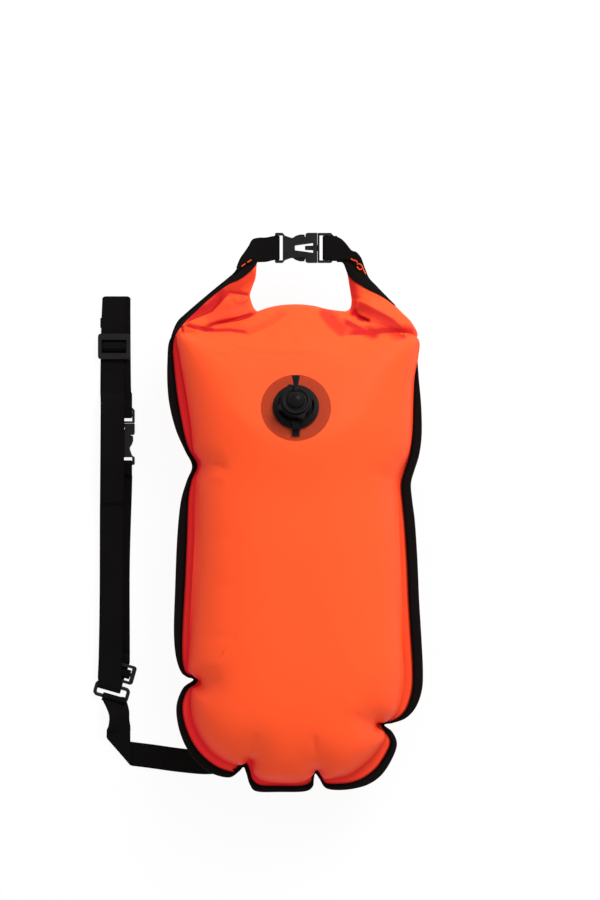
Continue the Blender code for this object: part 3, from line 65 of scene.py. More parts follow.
# %% Camera
CAMERA_PLACE = Vector((0.00309, 0.1133, 3.2))
LENS_MM = 121.7
SENSOR_MM = 36.0
FRAME_PIXELS = (600, 900)
SEAM_Z = 0.066

camera_data = bpy.data.cameras.new("photo_camera")
camera_data.sensor_fit = "VERTICAL"
camera_data.sensor_height = SENSOR_MM
camera_data.lens = LENS_MM
camera = bpy.data.objects.new("photo_camera", camera_data)
camera.location = CAMERA_PLACE
bpy.context.scene.collection.objects.link(camera)
bpy.context.scene.camera = camera


def from_photo(column, row, height=SEAM_Z):
    """The plan position that a pixel of the photograph shows, at a height over the floor."""
    scale = SENSOR_MM / LENS_MM * (CAMERA_PLACE.z - height) / FRAME_PIXELS[1]
    x = CAMERA_PLACE.x + (column - FRAME_PIXELS[0] / 2) * scale
    y = CAMERA_PLACE.y + (FRAME_PIXELS[1] / 2 - row) * scale
    return np.array((x, y))


def to_photo(points):
    """The pixels of the photograph in which some points of the object lie."""
    scale = SENSOR_MM / LENS_MM * (CAMERA_PLACE.z - points[:, 2]) / FRAME_PIXELS[1]
    column = FRAME_PIXELS[0] / 2 + (points[:, 0] - CAMERA_PLACE.x) / scale
    row = FRAME_PIXELS[1] / 2 - (points[:, 1] - CAMERA_PLACE.y) / scale
    return np.column_stack((column, row))


pixel = from_photo(301, 450)[0] - from_photo(300, 450)[0]
print("one pixel at the seam is", round(float(pixel) * 1000, 3), "mm")

# %% [markdown]
# ## Helpers for nodes
#
# Every finish in this script is a tree of nodes, and a few helpers keep the trees short. They
# make an empty material or a node with its settings, calculate with two sockets, lay a random
# pattern on the object, vary the roughness with it, and press a fine relief into the surface.

# %% Helpers for nodes


def new_material(name):
    """An empty node material, its tree and its output."""
    made = bpy.data.materials.new(name)
    made.use_nodes = True
    made.node_tree.nodes.clear()
    output = made.node_tree.nodes.new("ShaderNodeOutputMaterial")
    return made, made.node_tree, output


def add_node(tree, kind, **settings):
    """A node with its plain settings and the values of its unlinked sockets."""
    node = tree.nodes.new(kind)
    for key, value in settings.items():
        if hasattr(node, key):
            setattr(node, key, value)
        else:
            node.inputs[key.replace("_", " ")].default_value = value
    return node


def add_math(tree, operation, first, second, clamp=False):
    """One calculation with two sockets or numbers."""
    node = tree.nodes.new("ShaderNodeMath")
    node.operation = operation
    node.use_clamp = clamp
    for i, value in enumerate((first, second)):
        if isinstance(value, (int, float)):
            node.inputs[i].default_value = value
        else:
            tree.links.new(value, node.inputs[i])
    return node.outputs[0]


def noise_on(tree, place, scale, detail):
    """A soft random pattern that is fixed to the object."""
    noise = add_node(tree, "ShaderNodeTexNoise", Scale=scale, Detail=detail)
    tree.links.new(place.outputs["Object"], noise.inputs["Vector"])
    return noise.outputs["Fac"]


def uneven_roughness(tree, shader, cloud, middle, spread):
    """A roughness that varies round its middle with a cloudy pattern."""
    uneven = add_math(tree, "MULTIPLY_ADD", cloud, spread)
    uneven.node.inputs[2].default_value = middle - spread / 2
    tree.links.new(uneven, shader.inputs["Roughness"])


def finish_with_bump(tree, shader, output, height, strength, depth):
    """Press a fine relief into a shader and join it to the output."""
    bump = add_node(tree, "ShaderNodeBump", Strength=strength, Distance=depth)
    tree.links.new(height, bump.inputs["Height"])
    tree.links.new(bump.outputs["Normal"], shader.inputs["Normal"])
    tree.links.new(shader.outputs[0], output.inputs["Surface"])


print("node helpers ready")

# %% [markdown]
# ## Floor
#
# The buoy lies on a white sweep. The floor glows only where it is seen or mirrored, which keeps
# it white without throwing more light on the cloth, and it still takes the buoy's shadow.

# %% Floor
FLOOR_SIZE = 12.0
FLOOR_DROP = 0.0006
FLOOR_GLOW = 0.93
PAPER_WHITE = (0.92, 0.92, 0.92, 1.0)
PURE_WHITE = (1.0, 1.0, 1.0, 1.0)

half_floor = FLOOR_SIZE / 2
floor_mesh = bpy.data.meshes.new("studio_floor")
floor_mesh.from_pydata([(-half_floor, -half_floor, -FLOOR_DROP), (half_floor, -half_floor, -FLOOR_DROP),
                        (half_floor, half_floor, -FLOOR_DROP), (-half_floor, half_floor, -FLOOR_DROP)],
                       [], [(0, 1, 2, 3)])
floor = bpy.data.objects.new("studio_floor", floor_mesh)
bpy.context.scene.collection.objects.link(floor)

floor_white, tree, output = new_material("floor_white")
paper = add_node(tree, "ShaderNodeBsdfDiffuse", Color=PAPER_WHITE)
glow = add_node(tree, "ShaderNodeEmission", Color=PURE_WHITE, Strength=1.0)
ray = add_node(tree, "ShaderNodeLightPath")
seen = add_math(tree, "MAXIMUM", ray.outputs["Is Glossy Ray"], ray.outputs["Is Transmission Ray"])
seen = add_math(tree, "MAXIMUM", ray.outputs["Is Camera Ray"], seen)
mix = add_node(tree, "ShaderNodeMixShader")
tree.links.new(add_math(tree, "MULTIPLY", seen, FLOOR_GLOW), mix.inputs[0])
tree.links.new(paper.outputs[0], mix.inputs[1])
tree.links.new(glow.outputs[0], mix.inputs[2])
tree.links.new(mix.outputs[0], output.inputs["Surface"])
floor_mesh.materials.append(floor_white)
print("floor:", FLOOR_SIZE, "m across")

# %% [markdown]
# ## Sky and lamp
#
# An even sky fills every shadow. One wide lamp stands beyond the handle on the right, where the
# photograph's highlights come from. Both stay at a plain level, so colours render as written.

# %% Sky and lamp
SKY_STRENGTH = 0.72
KEY_PLACE = (0.95, 1.75, 1.75)
KEY_SIZE = 1.2
KEY_POWER = 60.0
BODY_MIDDLE = (0.0, 0.03, SEAM_Z)

world = bpy.data.worlds.new("studio_sky")
world.use_nodes = True
world.node_tree.nodes["Background"].inputs["Color"].default_value = PURE_WHITE
world.node_tree.nodes["Background"].inputs["Strength"].default_value = SKY_STRENGTH
bpy.context.scene.world = world
bpy.context.scene.view_settings.view_transform = "Standard"


def add_lamp(name, place, aim, size, power):
    """A square area lamp that looks at a point."""
    data = bpy.data.lights.new(name, "AREA")
    data.shape = "SQUARE"
    data.size = size
    data.energy = power
    lamp = bpy.data.objects.new(name, data)
    lamp.location = place
    lamp.rotation_euler = (Vector(aim) - Vector(place)).to_track_quat("-Z", "Y").to_euler()
    bpy.context.scene.collection.objects.link(lamp)
    return lamp


key_lamp = add_lamp("key_lamp", KEY_PLACE, BODY_MIDDLE, KEY_SIZE, KEY_POWER)
print("lamps:", key_lamp.name, key_lamp.data.energy, "W")

# %% [markdown]
# ## Coated cloth
#
# The bag is nylon with a bright coating on both sides. It is smooth and slightly glossy, with
# the fine grid of the weave just showing through. Where the two skins are welded, or where a fold
# turns away, light bounces between red surfaces. So the colour there gets a painted shade that
# goes deeper red, and a little painted red glow. Two numbers kept on each point of the mesh say
# where, so both stay on the cloth in every view.

# %% Cloth finish
CLOTH_ORANGE = (0.98, 0.092, 0.023, 1.0)
# The deep red below is painted shade, and the red after it is a painted glow for bounced light.
CLOTH_PAINTED_SHADE = (0.44, 0.004, 0.012, 1.0)
PAINTED_GLOW_RED = (0.45, 0.006, 0.015, 1.0)
WEAVE_PITCH = 0.00055
CLOTH_SHINE = 0.05
CLOTH_ROUGHNESS = 0.46
CLOUD_SCALE = 11.0
CLOUD_COLOUR = 0.10
CLOUD_ROUGHNESS = 0.16
RIPPLE_SCALE = 260.0
WEAVE_BUMP = 0.22
WEAVE_DEPTH = 0.00012
# Names of the two numbers kept on the mesh: painted shade and painted glow.
PAINTED_SHADE_LAYER = "painted_shade"
PAINTED_GLOW_LAYER = "painted_glow"


def two_colours(tree, share, first, second):
    """A mix of two colours by a socket."""
    blend = tree.nodes.new("ShaderNodeMix")
    blend.data_type = "RGBA"
    ends = [s for s in blend.inputs if s.type == "RGBA"]
    ends[0].default_value = first
    ends[1].default_value = second
    tree.links.new(share, blend.inputs[0])
    return [s for s in blend.outputs if s.type == "RGBA"][0]


def thread_grid(tree, place, pitch_u, pitch_v):
    """Two crossed sets of threads as one height between 0 and 1."""
    parts = tree.nodes.new("ShaderNodeSeparateXYZ")
    tree.links.new(place, parts.inputs[0])
    waves = []
    for socket, pitch in ((parts.outputs[0], pitch_u), (parts.outputs[1], pitch_v)):
        turn = add_math(tree, "MULTIPLY", socket, 2.0 * math.pi / pitch)
        wave = add_math(tree, "SINE", turn, 0.0)
        waves.append(add_math(tree, "ABSOLUTE", wave, 0.0))
    return add_math(tree, "MULTIPLY", waves[0], waves[1])


def coated_cloth(name):
    """Smooth coated nylon with a painted shade and a painted red glow where the mesh says so."""
    made, tree, output = new_material(name)
    shader = add_node(tree, "ShaderNodeBsdfPrincipled", Roughness=CLOTH_ROUGHNESS)
    shader.inputs["Specular IOR Level"].default_value = CLOTH_SHINE
    # This emission is a painted glow, not a lamp: it stands in for red light bounced between folds.
    shader.inputs["Emission Color"].default_value = PAINTED_GLOW_RED
    glow = add_node(tree, "ShaderNodeAttribute", attribute_name=PAINTED_GLOW_LAYER)
    tree.links.new(glow.outputs["Fac"], shader.inputs["Emission Strength"])
    # The base colour moves towards the painted shade by the number on the mesh, with a random tone on top.
    where = add_node(tree, "ShaderNodeAttribute", attribute_name=PAINTED_SHADE_LAYER)
    place = add_node(tree, "ShaderNodeTexCoord")
    cloud = noise_on(tree, place, CLOUD_SCALE, 3.0)
    patchy = add_math(tree, "MULTIPLY", add_math(tree, "SUBTRACT", cloud, 0.5), CLOUD_COLOUR)
    total = add_math(tree, "ADD", where.outputs["Fac"], patchy, clamp=True)
    tree.links.new(two_colours(tree, total, CLOTH_ORANGE, CLOTH_PAINTED_SHADE), shader.inputs["Base Color"])
    uneven_roughness(tree, shader, cloud, CLOTH_ROUGHNESS, CLOUD_ROUGHNESS)
    grain = thread_grid(tree, place.outputs["Object"], WEAVE_PITCH, WEAVE_PITCH)
    height = add_math(tree, "ADD", grain, noise_on(tree, place, RIPPLE_SCALE, 2.0))
    finish_with_bump(tree, shader, output, height, WEAVE_BUMP, WEAVE_DEPTH)
    return made


orange_cloth = coated_cloth("orange_coated_cloth")
print("cloth:", orange_cloth.name)

# %% [markdown]
# ## The outline of the bag
#
# Front and back are cut alike and welded round the rim. Cloth that is blown up cannot keep a
# straight rim: it gathers into deep nicks, four of them near the lower end, which give this
# buoy its paw-like outline. Each row below holds one place on the rim and the place on the
# foot of the blown-up part next to it, as pixels of the photograph. A smooth closed curve
# through them gives as many points as the mesh needs.

# %% Rim and foot of the blown-up part
RIM_AND_FOOT = (
    (171.3, 337, 176.4, 334.5), (167.3, 362, 179.3, 362), (168.4, 398, 185.4, 398),
    (175.2, 428, 190, 428), (184.6, 450, 192.6, 450), (192, 466, 200.3, 464), (186.6, 481, 195.9, 480),
    (180.5, 503, 195, 503), (177, 540, 194.8, 540), (175, 590, 192, 590), (173.8, 630, 189.8, 630),
    (175.6, 655, 188, 655), (180.5, 671, 187.9, 669.5), (186.8, 677, 194, 676),
    (193.3, 679.8, 200.5, 682), (183, 688, 191.8, 689), (176.5, 705, 190.2, 705),
    (178, 725, 193.6, 722), (185, 745, 201, 738), (196, 761, 211.5, 751), (211, 773, 225, 760.3),
    (229, 777.5, 238, 764.5), (239, 771.5, 245.5, 763), (243.5, 767, 250.8, 758.8),
    (246.5, 774, 252, 765.5), (250, 785, 254, 774), (257, 791.5, 262.5, 780), (280, 792, 281, 782),
    (304, 791.5, 302, 781.3), (312.5, 787, 309.4, 778.3), (314, 779, 313, 774.6),
    (315.4, 773.6, 317, 769.4), (319.5, 779, 320.9, 774.6), (325, 787.5, 325.5, 778.8),
    (335, 790, 338, 776.8), (352, 789, 350.5, 773.3), (368.5, 784.3, 361.5, 765.8),
    (382, 774.5, 370.8, 757.5), (392, 759, 380, 746.5), (397, 744, 384.8, 738),
    (392.5, 732, 383.2, 730.4), (384.4, 725, 376.8, 723.2), (393, 723, 385.6, 721.6),
    (406, 718, 396.2, 713), (416, 707, 399.4, 705), (422, 690, 402.8, 689), (423, 670, 404.8, 670),
    (421.6, 640, 403.6, 640), (419.2, 600, 401.8, 600), (417.5, 560, 400.2, 560),
    (415, 522, 398.8, 524), (412.5, 502, 398.2, 503), (411, 484, 397.3, 484),
    (414.3, 471, 401.5, 469.5), (419.2, 455, 408.6, 454), (421.8, 434, 411.9, 434),
    (421.2, 405, 412.9, 405), (418.8, 378, 414.4, 377), (417.4, 357, 418.2, 357),
    (416.2, 338, 417.6, 338), (395, 331, 394, 330.5), (360, 330, 360, 330), (325, 329, 325, 329.5),
    (297, 329, 297, 329.5), (262, 329, 262, 329.5), (225, 329, 226, 330), (192, 331, 194, 331),
)
ROUND_STEPS = 6


def smooth_rows(rows, steps, closed=False):
    """Rows of numbers along a smooth curve through every given row."""
    rows = np.array(rows, dtype=float)
    if closed:
        padded = np.vstack((rows[-1], rows, rows[0], rows[1]))
    else:
        padded = np.vstack((2 * rows[0] - rows[1], rows, 2 * rows[-1] - rows[-2]))
    out = []
    for i in range(1, len(padded) - 2):
        a, b, c, d = padded[i - 1], padded[i], padded[i + 1], padded[i + 2]
        for step in range(steps):
            t = step / steps
            out.append(0.5 * (2 * b + (c - a) * t + (2 * a - 5 * b + 4 * c - d) * t ** 2
                              + (3 * b - a - 3 * c + d) * t ** 3))
    if not closed:
        out.append(rows[-1])
    return np.array(out)


both = smooth_rows(RIM_AND_FOOT, ROUND_STEPS, closed=True)
rim = np.array([from_photo(column, row) for column, row in both[:, :2]])
foot = np.array([from_photo(column, row) for column, row in both[:, 2:]])
print("rim points:", len(rim), "width", round(float(np.ptp(rim[:, 0])) * 1000), "mm")

# %% [markdown]
# ## How far the cloth is blown up
#
# A soft bag is steep where it leaves its weld and flat in its middle. Every point of the plan
# gets a soft distance to the whole foot line, in which near pieces of the line count most, and
# the height is a quarter circle of that distance. So a nick in the outline makes a round
# saddle by itself, with no extra work. The front also lies flat where the valve is welded on.

# %% Height of the front and the back
BODY_WIDTH = 0.2575
REACH = 0.33 * BODY_WIDTH
FRONT_HEIGHT = 0.074
DOME_MIDDLE_Y = 0.0059
BODY_TOP_Y = 0.2320
TOP_TAPER = 0.22
TAPER_POWER = 1.6
SKIN = 0.0006
LEVEL = 0.0008
BACK_FLATNESS = 1.04
VALVE_CENTRE = np.array((-0.0010, 0.1560))
VALVE_TILT = math.radians(19.0)
VALVE_SEAT_Z = 0.1335
WELD_RADIUS = 0.0355
SEAT_BLEND = 0.038
SEAT_LIMIT = 0.009
SEAT_CLEARANCE = 0.0003
AT_ONCE = 4000


def blown_up(plan):
    """How far each point of the plan is blown up, from 0 at the foot to 1."""
    ahead = np.roll(foot, -1, axis=0)
    middles = (foot + ahead) / 2
    lengths = np.sqrt(((ahead - foot) ** 2).sum(axis=1))
    share = np.zeros(len(plan))
    for start in range(0, len(plan), AT_ONCE):
        some = plan[start:start + AT_ONCE]
        spread = ((some[:, None, :] - middles[None, :, :]) ** 2).sum(axis=2)
        near = (lengths[None, :] / np.maximum(spread, 1e-7) ** 2).sum(axis=1)
        distance = (near * 2.0 / math.pi) ** (-1.0 / 3.0)
        inside = np.minimum(distance / REACH, 1.0)
        share[start:start + AT_ONCE] = np.sqrt(1.0 - (1.0 - inside) ** 2)
    return share


def front_height(plan, share):
    """Height of the front's outside over the floor."""
    towards_top = np.clip((plan[:, 1] - DOME_MIDDLE_Y) / (BODY_TOP_Y - DOME_MIDDLE_Y), 0.0, 1.0)
    height = SEAM_Z + LEVEL + FRONT_HEIGHT * (1.0 - TOP_TAPER * towards_top ** TAPER_POWER) * share
    offset = plan - VALVE_CENTRE
    plane = VALVE_SEAT_Z - SEAT_CLEARANCE - math.tan(VALVE_TILT) * offset[:, 1]
    beyond = np.maximum(np.sqrt((offset ** 2).sum(axis=1)) - WELD_RADIUS, 0.0)
    rise = np.clip(plane - height, -SEAT_LIMIT, SEAT_LIMIT)
    return height + rise * np.exp(-(beyond / SEAT_BLEND) ** 2)


def back_height(share):
    """Height of the back's outside over the floor: it lies flat on it in the middle."""
    return np.maximum(SEAM_Z - LEVEL - (SEAM_Z - LEVEL) * BACK_FLATNESS * share, 0.0)


print("dome:", round(FRONT_HEIGHT * 1000), "mm over the seam")

# %% [markdown]
# ## Rings of the sheet
#
# Both skins use one plan: a ring of points on the rim, one half way, one on the foot, and then
# rings that shrink towards the middle. They lie closer near the foot, where the cloth is steep.

# %% Rings of the sheet
RINGS = 46
RING_BUNCHING = 1.55

ring_shares = (np.arange(1, RINGS) / RINGS) ** RING_BUNCHING
middle = np.array((0.0, DOME_MIDDLE_Y))
plan_rings = [rim, (rim * 0.5 + foot * 0.5), foot]
plan_rings += [foot + (middle - foot) * share for share in ring_shares]
sheet_plan = np.vstack(plan_rings + [middle[None, :]])
sheet_share = blown_up(sheet_plan)
sheet_share[:len(rim) * 3] = 0.0
print("sheet points:", len(sheet_plan))

# %% [markdown]
# ## Creases
#
# A crease or a pleat in cloth has a line along which it runs, a height, and two flanks, of
# which one is often steep and the other one gentle. One helper gives such a form to any set of
# points, and one gives a band of painted shade beside it. Both work in pixels of the photograph,
# so each crease is written down as it is seen.

# %% Helpers for pleats and shades


def smooth_step(share):
    """A share between 0 and 1 with a soft start and a soft end."""
    return share * share * (3.0 - 2.0 * share)


def beside_line(places, line):
    """For each place its signed distance to a line of points and how far along it lies."""
    line = np.array(line, dtype=float)
    steps = np.sqrt(((line[1:] - line[:-1]) ** 2).sum(axis=1))
    starts = np.concatenate(([0.0], np.cumsum(steps)))
    best = np.full(len(places), np.inf)
    signed = np.zeros(len(places))
    along = np.zeros(len(places))
    for i in range(len(steps)):
        run = (line[i + 1] - line[i]) / steps[i]
        offset = places - line[i]
        travel = offset @ run
        inside = np.clip(travel, 0.0, steps[i])
        rest = offset - inside[:, None] * run
        distance = np.sqrt((rest ** 2).sum(axis=1))
        side = np.where(run[0] * offset[:, 1] - run[1] * offset[:, 0] >= 0.0, 1.0, -1.0)
        closer = distance < best
        best[closer] = distance[closer]
        signed[closer] = (distance * side)[closer]
        along[closer] = ((starts[i] + inside) / starts[-1])[closer]
    return signed, along


PLEAT_TIP = 0.2
PLEAT_FADE = 0.35
SHADE_FLAT = 1.7
SHADE_FADE = 0.12
SHADE_TIP = 0.25


def pleat(places, line, height, left, right, fade=PLEAT_FADE):
    """Height in metres of a pleat on a line of pixels.

    left and right are the widths of its two flanks in pixels, seen along the line, and fade is
    the share of the line at each end over which it dies out.
    """
    signed, along = beside_line(places, line)
    width = np.where(signed < 0.0, left, right)
    ends = smooth_step(np.clip(np.minimum(along, 1.0 - along) / fade, 0.0, 1.0))
    return height * np.exp(PLEAT_TIP - np.sqrt((signed / width) ** 2 + PLEAT_TIP ** 2)) * ends


def shade_band(places, line, amount, left, right):
    """A band of painted shade beside a line of pixels, even near the line and soft beyond."""
    signed, along = beside_line(places, line)
    width = np.where(signed < 0.0, left, right)
    ends = np.clip(np.minimum(along, 1.0 - along) / SHADE_FADE, 0.0, 1.0)
    width = width * (SHADE_TIP + (1.0 - SHADE_TIP) * np.sqrt(ends))
    return amount * np.clip((1.0 - np.abs(signed) / width) * SHADE_FLAT, 0.0, 1.0) * np.sqrt(ends)


print("crease helpers ready")

# %% [markdown]
# ## Helpers for pieces
#
# A piece is a mesh with a name, a finish and a body that it rides on. The cloth pieces also keep
# two numbers for each point: how much painted shade deepens its colour and how much painted glow
# it has. Nearly all pieces are rings of points, either as a tube or as a sheet that ends in its middle.

# %% Helpers for pieces


def mesh_object(name, points, faces, finish, body, smooth=True):
    """A named piece that rides on a body and carries a finish."""
    mesh = bpy.data.meshes.new(name)
    mesh.from_pydata([tuple(p) for p in points], [], [tuple(f) for f in faces])
    mesh.validate()
    builder = bmesh.new()
    builder.from_mesh(mesh)
    bmesh.ops.recalc_face_normals(builder, faces=builder.faces)
    builder.to_mesh(mesh)
    builder.free()
    mesh.polygons.foreach_set("use_smooth", [smooth] * len(mesh.polygons))
    mesh.materials.append(finish)
    piece = bpy.data.objects.new(name, mesh)
    bpy.context.scene.collection.objects.link(piece)
    if body:
        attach(piece, body)
    return piece


def set_painted_shade(piece, values, painted_glow=None):
    """Painted shade of the cloth at each point of a piece, and its painted glow."""
    for name, numbers in ((PAINTED_SHADE_LAYER, values), (PAINTED_GLOW_LAYER, painted_glow)):
        if numbers is not None:
            layer = piece.data.attributes.new(name, "FLOAT", "POINT")
            layer.data.foreach_set("value", np.clip(numbers, 0.0, 1.0).astype(np.float32))


def tube_faces(rings, size, closed_ends=True):
    """Faces of a closed tube of rings."""
    faces = []
    for i in range(rings - 1):
        for j in range(size):
            k = (j + 1) % size
            faces.append((i * size + j, i * size + k, (i + 1) * size + k, (i + 1) * size + j))
    if closed_ends:
        faces.append(tuple(range(size)))
        faces.append(tuple((rings - 1) * size + j for j in reversed(range(size))))
    return faces


def ring_sheet_faces(rings, size):
    """Faces of a sheet of rings that ends in one middle point."""
    last = (rings - 1) * size
    return (tube_faces(rings, size, closed_ends=False)
            + [(last + j, last + (j + 1) % size, rings * size) for j in range(size)])


print("piece helpers ready")

# %% [markdown]
# ## Pulls on the front
#
# Short pulls run inwards from each nick, and faint ripples cross both sides, where the cloth has
# too much width. They die out at the foot, where the weld holds the cloth flat.

# %% Pulls on the front
PULLS_FROM_FOOT = 1.6
FRONT_PULLS = (
    (((204, 464), (214, 463), (230, 466)), -0.0030, 3.0, 5.0),
    (((202, 455), (214, 451), (230, 448)), 0.0016, 6.0, 5.0),
    (((203, 474), (216, 478), (232, 480)), 0.0016, 5.0, 6.0),
    (((204, 682), (212, 682), (224, 680)), -0.0026, 3.0, 4.0),
    (((199, 669), (212, 664), (228, 662)), 0.0014, 6.0, 6.0),
    (((251, 758), (254, 748), (256, 732)), -0.0026, 3.5, 3.5),
    (((316, 758), (315, 748), (314, 734)), -0.0024, 3.5, 3.5),
    (((372, 722), (362, 720), (348, 716)), -0.0030, 3.5, 4.5),
    (((366, 712), (354, 706), (340, 702)), 0.0014, 6.0, 6.0),
    (((398, 484), (388, 478), (372, 470)), -0.0022, 4.0, 5.0),
    (((399, 472), (390, 464), (374, 455)), 0.0012, 6.0, 6.0),
    (((201, 541), (222, 537), (248, 540)), -0.0007, 4.0, 6.0),
    (((200, 589), (220, 584), (252, 588)), -0.0008, 4.0, 7.0),
    (((198, 640), (218, 636), (246, 640)), -0.0008, 4.0, 6.0),
    (((404, 560), (386, 556), (362, 560)), -0.0006, 5.0, 6.0),
    (((405, 615), (388, 612), (364, 618)), -0.0006, 5.0, 6.0),
    (((260, 346), (261, 352), (260, 364)), -0.0004, 3.0, 4.0),
    (((376, 340), (372, 352), (362, 366)), -0.0009, 4.0, 5.0),
    (((212, 340), (218, 352), (230, 366)), -0.0008, 4.0, 5.0),
)

heights = front_height(sheet_plan, sheet_share)
places = to_photo(np.column_stack((sheet_plan, heights)))
for line, height, left, right in FRONT_PULLS:
    heights += pleat(places, line, height, left, right) * np.clip(sheet_share * PULLS_FROM_FOOT, 0.0, 1.0)
print("pulls on the front:", len(FRONT_PULLS))

# %% [markdown]
# ## Where the cloth gets painted shade and glow
#
# The light comes from the upper right. Where the rim looks away from it, the flat weld and the
# steep foot of the dome face each other and light each other red. So a painted shade that deepens
# the colour, and a painted red glow, follow one number: how far the foot line looks away from the
# lit side.

# %% Painted shade and glow of the skins
LIT_SIDE = (0.82, 0.57)
RUN_STEPS = 3
SMOOTH_STEPS = 6
LIMB_SHARE = 0.30
LIMB_PAINTED_SHADE = 0.62
LIMB_PAINTED_GLOW = 0.60
FLANK_PAINTED_SHADE = 0.50
FLANK_END = 0.85
PAINTED_SHADE_ALL_ROUND = 0.04
# Rows: ring, least painted shade, more painted shade where it looks away from the light, painted glow.
WELD_SHADES = ((0, 0.10, 0.50, 0.75), (1, 0.12, 0.58, 0.70), (2, 0.26, 0.70, 0.50))

run = np.roll(foot, -RUN_STEPS, axis=0) - np.roll(foot, RUN_STEPS, axis=0)
run /= np.linalg.norm(run, axis=1)[:, None]
facing = np.clip(0.5 + 0.5 * (run[:, 1] * LIT_SIDE[0] - run[:, 0] * LIT_SIDE[1]), 0.0, 1.0)
facing = np.mean([np.roll(facing, shift) for shift in range(-SMOOTH_STEPS, SMOOTH_STEPS + 1)], axis=0)
away = 1.0 - np.append(np.tile(facing, len(plan_rings)), 1.0)
limb = np.exp(-(sheet_share / LIMB_SHARE) ** 2)
flank = np.clip(1.0 - sheet_share / FLANK_END, 0.0, 1.0)
# Painted shade and glow are strongest at the limb and flank on the side away from the lamp.
painted_shade = away * (LIMB_PAINTED_SHADE * limb + FLANK_PAINTED_SHADE * flank) + PAINTED_SHADE_ALL_ROUND * limb
painted_glow = away * limb * LIMB_PAINTED_GLOW
for ring, least, more, glow in WELD_SHADES:
    some = slice(ring * len(rim), (ring + 1) * len(rim))
    painted_shade[some] = least + more * away[some]
    painted_glow[some] = glow * away[some]
print("deepest colour of the front:", round(float(painted_shade.max()), 2))

# %% [markdown]
# ## Front and back
#
# Each skin is closed: an outside, and the same sheet again one thickness of cloth further in.
# The back lies flat on the floor in its middle and takes less painted shade and glow, because it faces down.

# %% Front and back skins
BACK_PAINTED_SHADE = 0.5
BACK_PAINTED_GLOW = 0.3


def closed_skin(name, heights, towards, painted_shade, painted_glow):
    """A thin closed skin: its outside, and the same sheet again one thickness further in."""
    outside = np.column_stack((sheet_plan, heights))
    inside = outside.copy()
    inside[:, 2] += towards * SKIN
    count = len(outside)
    size = len(rim)
    faces = ring_sheet_faces(len(plan_rings), size)
    everything = faces + [tuple(count + i for i in reversed(face)) for face in faces]
    for j in range(size):
        k = (j + 1) % size
        everything.append((j, count + j, count + k, k))
    piece = mesh_object(name, np.vstack((outside, inside)), everything, orange_cloth, "buoy")
    set_painted_shade(piece, np.tile(painted_shade, 2), np.tile(painted_glow, 2))
    return piece


front_skin = closed_skin("front_skin", heights, -1.0, painted_shade, painted_glow)
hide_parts("front_panel")

back_skin = closed_skin("back_skin", back_height(sheet_share), 1.0, painted_shade * BACK_PAINTED_SHADE, painted_glow * BACK_PAINTED_GLOW)
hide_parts("back_panel", "dry_bag_wall")
print("skins:", len(front_skin.data.vertices), "points each")

# %% [markdown]
# ## The folded mouth
#
# Above the blown-up part the bag is open cloth. It is rolled over a few times and bent up at
# both ends into a carrying handle, so the cloth bunches in pleats from the shoulders towards
# the webbing. It is lofted here as one soft roll between an inner and an outer edge. Each row
# holds a place on both edges as pixels, the thickness there, and how far the air in the bag has
# blown the roll up into one arch with the dome.

# %% Loft of the folded mouth
NECK_ROWS = (
    (257, 262, 240, 271.5, 0.34, 0), (256.5, 268, 233, 279, 0.38, 0), (255.5, 278, 221, 287, 0.44, 0),
    (252, 288, 210, 296, 0.52, 0), (250, 295, 200, 305, 0.60, 0), (251.5, 302, 190, 314, 0.68, 0),
    (254, 308, 181, 324, 0.78, 0), (258, 311.3, 174.5, 335, 0.88, 0), (265, 308.6, 190, 345, 0.96, 0.50),
    (275, 306, 226, 356, 1.00, 0.90), (286, 304.6, 260, 362, 1.00, 1), (300, 304.3, 300, 363, 1.00, 1),
    (314, 305.8, 336, 362, 1.00, 1), (327, 309, 370, 355, 1.00, 0.85), (338, 310.6, 398, 344, 1.00, 0.45),
    (346, 311, 417, 337, 0.92, 0), (350.2, 308, 412, 323, 0.82, 0), (351.5, 301, 401, 311.5, 0.70, 0),
    (350.5, 293, 389, 299.5, 0.60, 0), (349, 284, 378, 288, 0.52, 0), (347.5, 275, 368, 277, 0.44, 0),
    (345, 262, 359, 266, 0.34, 0),
)
NECK_STEPS = 18
NECK_TOP = 96
NECK_SECTION = 128
NECK_THICKNESS = 0.026
NECK_ROOT_RISE = 0.0095
NECK_FULLNESS = 0.72
ARCH_POWER = 0.66
EDGE_SHARPNESS = 2.2
ROOT_ROW = 306.0
ROOT_RUN = 30.0
ROOT_SIDES = (172.0, 420.0)
SIDE_RUN = 26.0

neck_rows = smooth_rows(NECK_ROWS, NECK_STEPS)
inner_edge = np.array([from_photo(column, row) for column, row in neck_rows[:, :2]])
outer_edge = np.array([from_photo(column, row) for column, row in neck_rows[:, 2:4]])
turns = np.concatenate((np.linspace(0.0, math.pi, NECK_TOP, endpoint=False),
                        np.linspace(math.pi, 2.0 * math.pi, NECK_SECTION - NECK_TOP, endpoint=False)))
across = (1.0 - np.cos(turns)) / 2.0
bulge = np.sin(turns)
neck_points = np.zeros((len(neck_rows), NECK_SECTION, 3))
neck_points[:, :, 0] = inner_edge[:, None, 0] + (outer_edge - inner_edge)[:, None, 0] * across[None, :]
neck_points[:, :, 1] = inner_edge[:, None, 1] + (outer_edge - inner_edge)[:, None, 1] * across[None, :]
fullness = np.sign(bulge) * np.abs(bulge) ** NECK_FULLNESS
rolled = neck_rows[:, None, 4] * NECK_THICKNESS / 2 * fullness[None, :]
landing = front_height(outer_edge, blown_up(outer_edge)) - SEAM_Z
arched = landing[:, None] * (across ** ARCH_POWER)[None, :]
blown_share = neck_rows[:, None, 5] * np.where(turns <= math.pi, 1.0, 0.0)[None, :]
neck_points[:, :, 2] = SEAM_Z + rolled * (1.0 - blown_share) + arched * blown_share
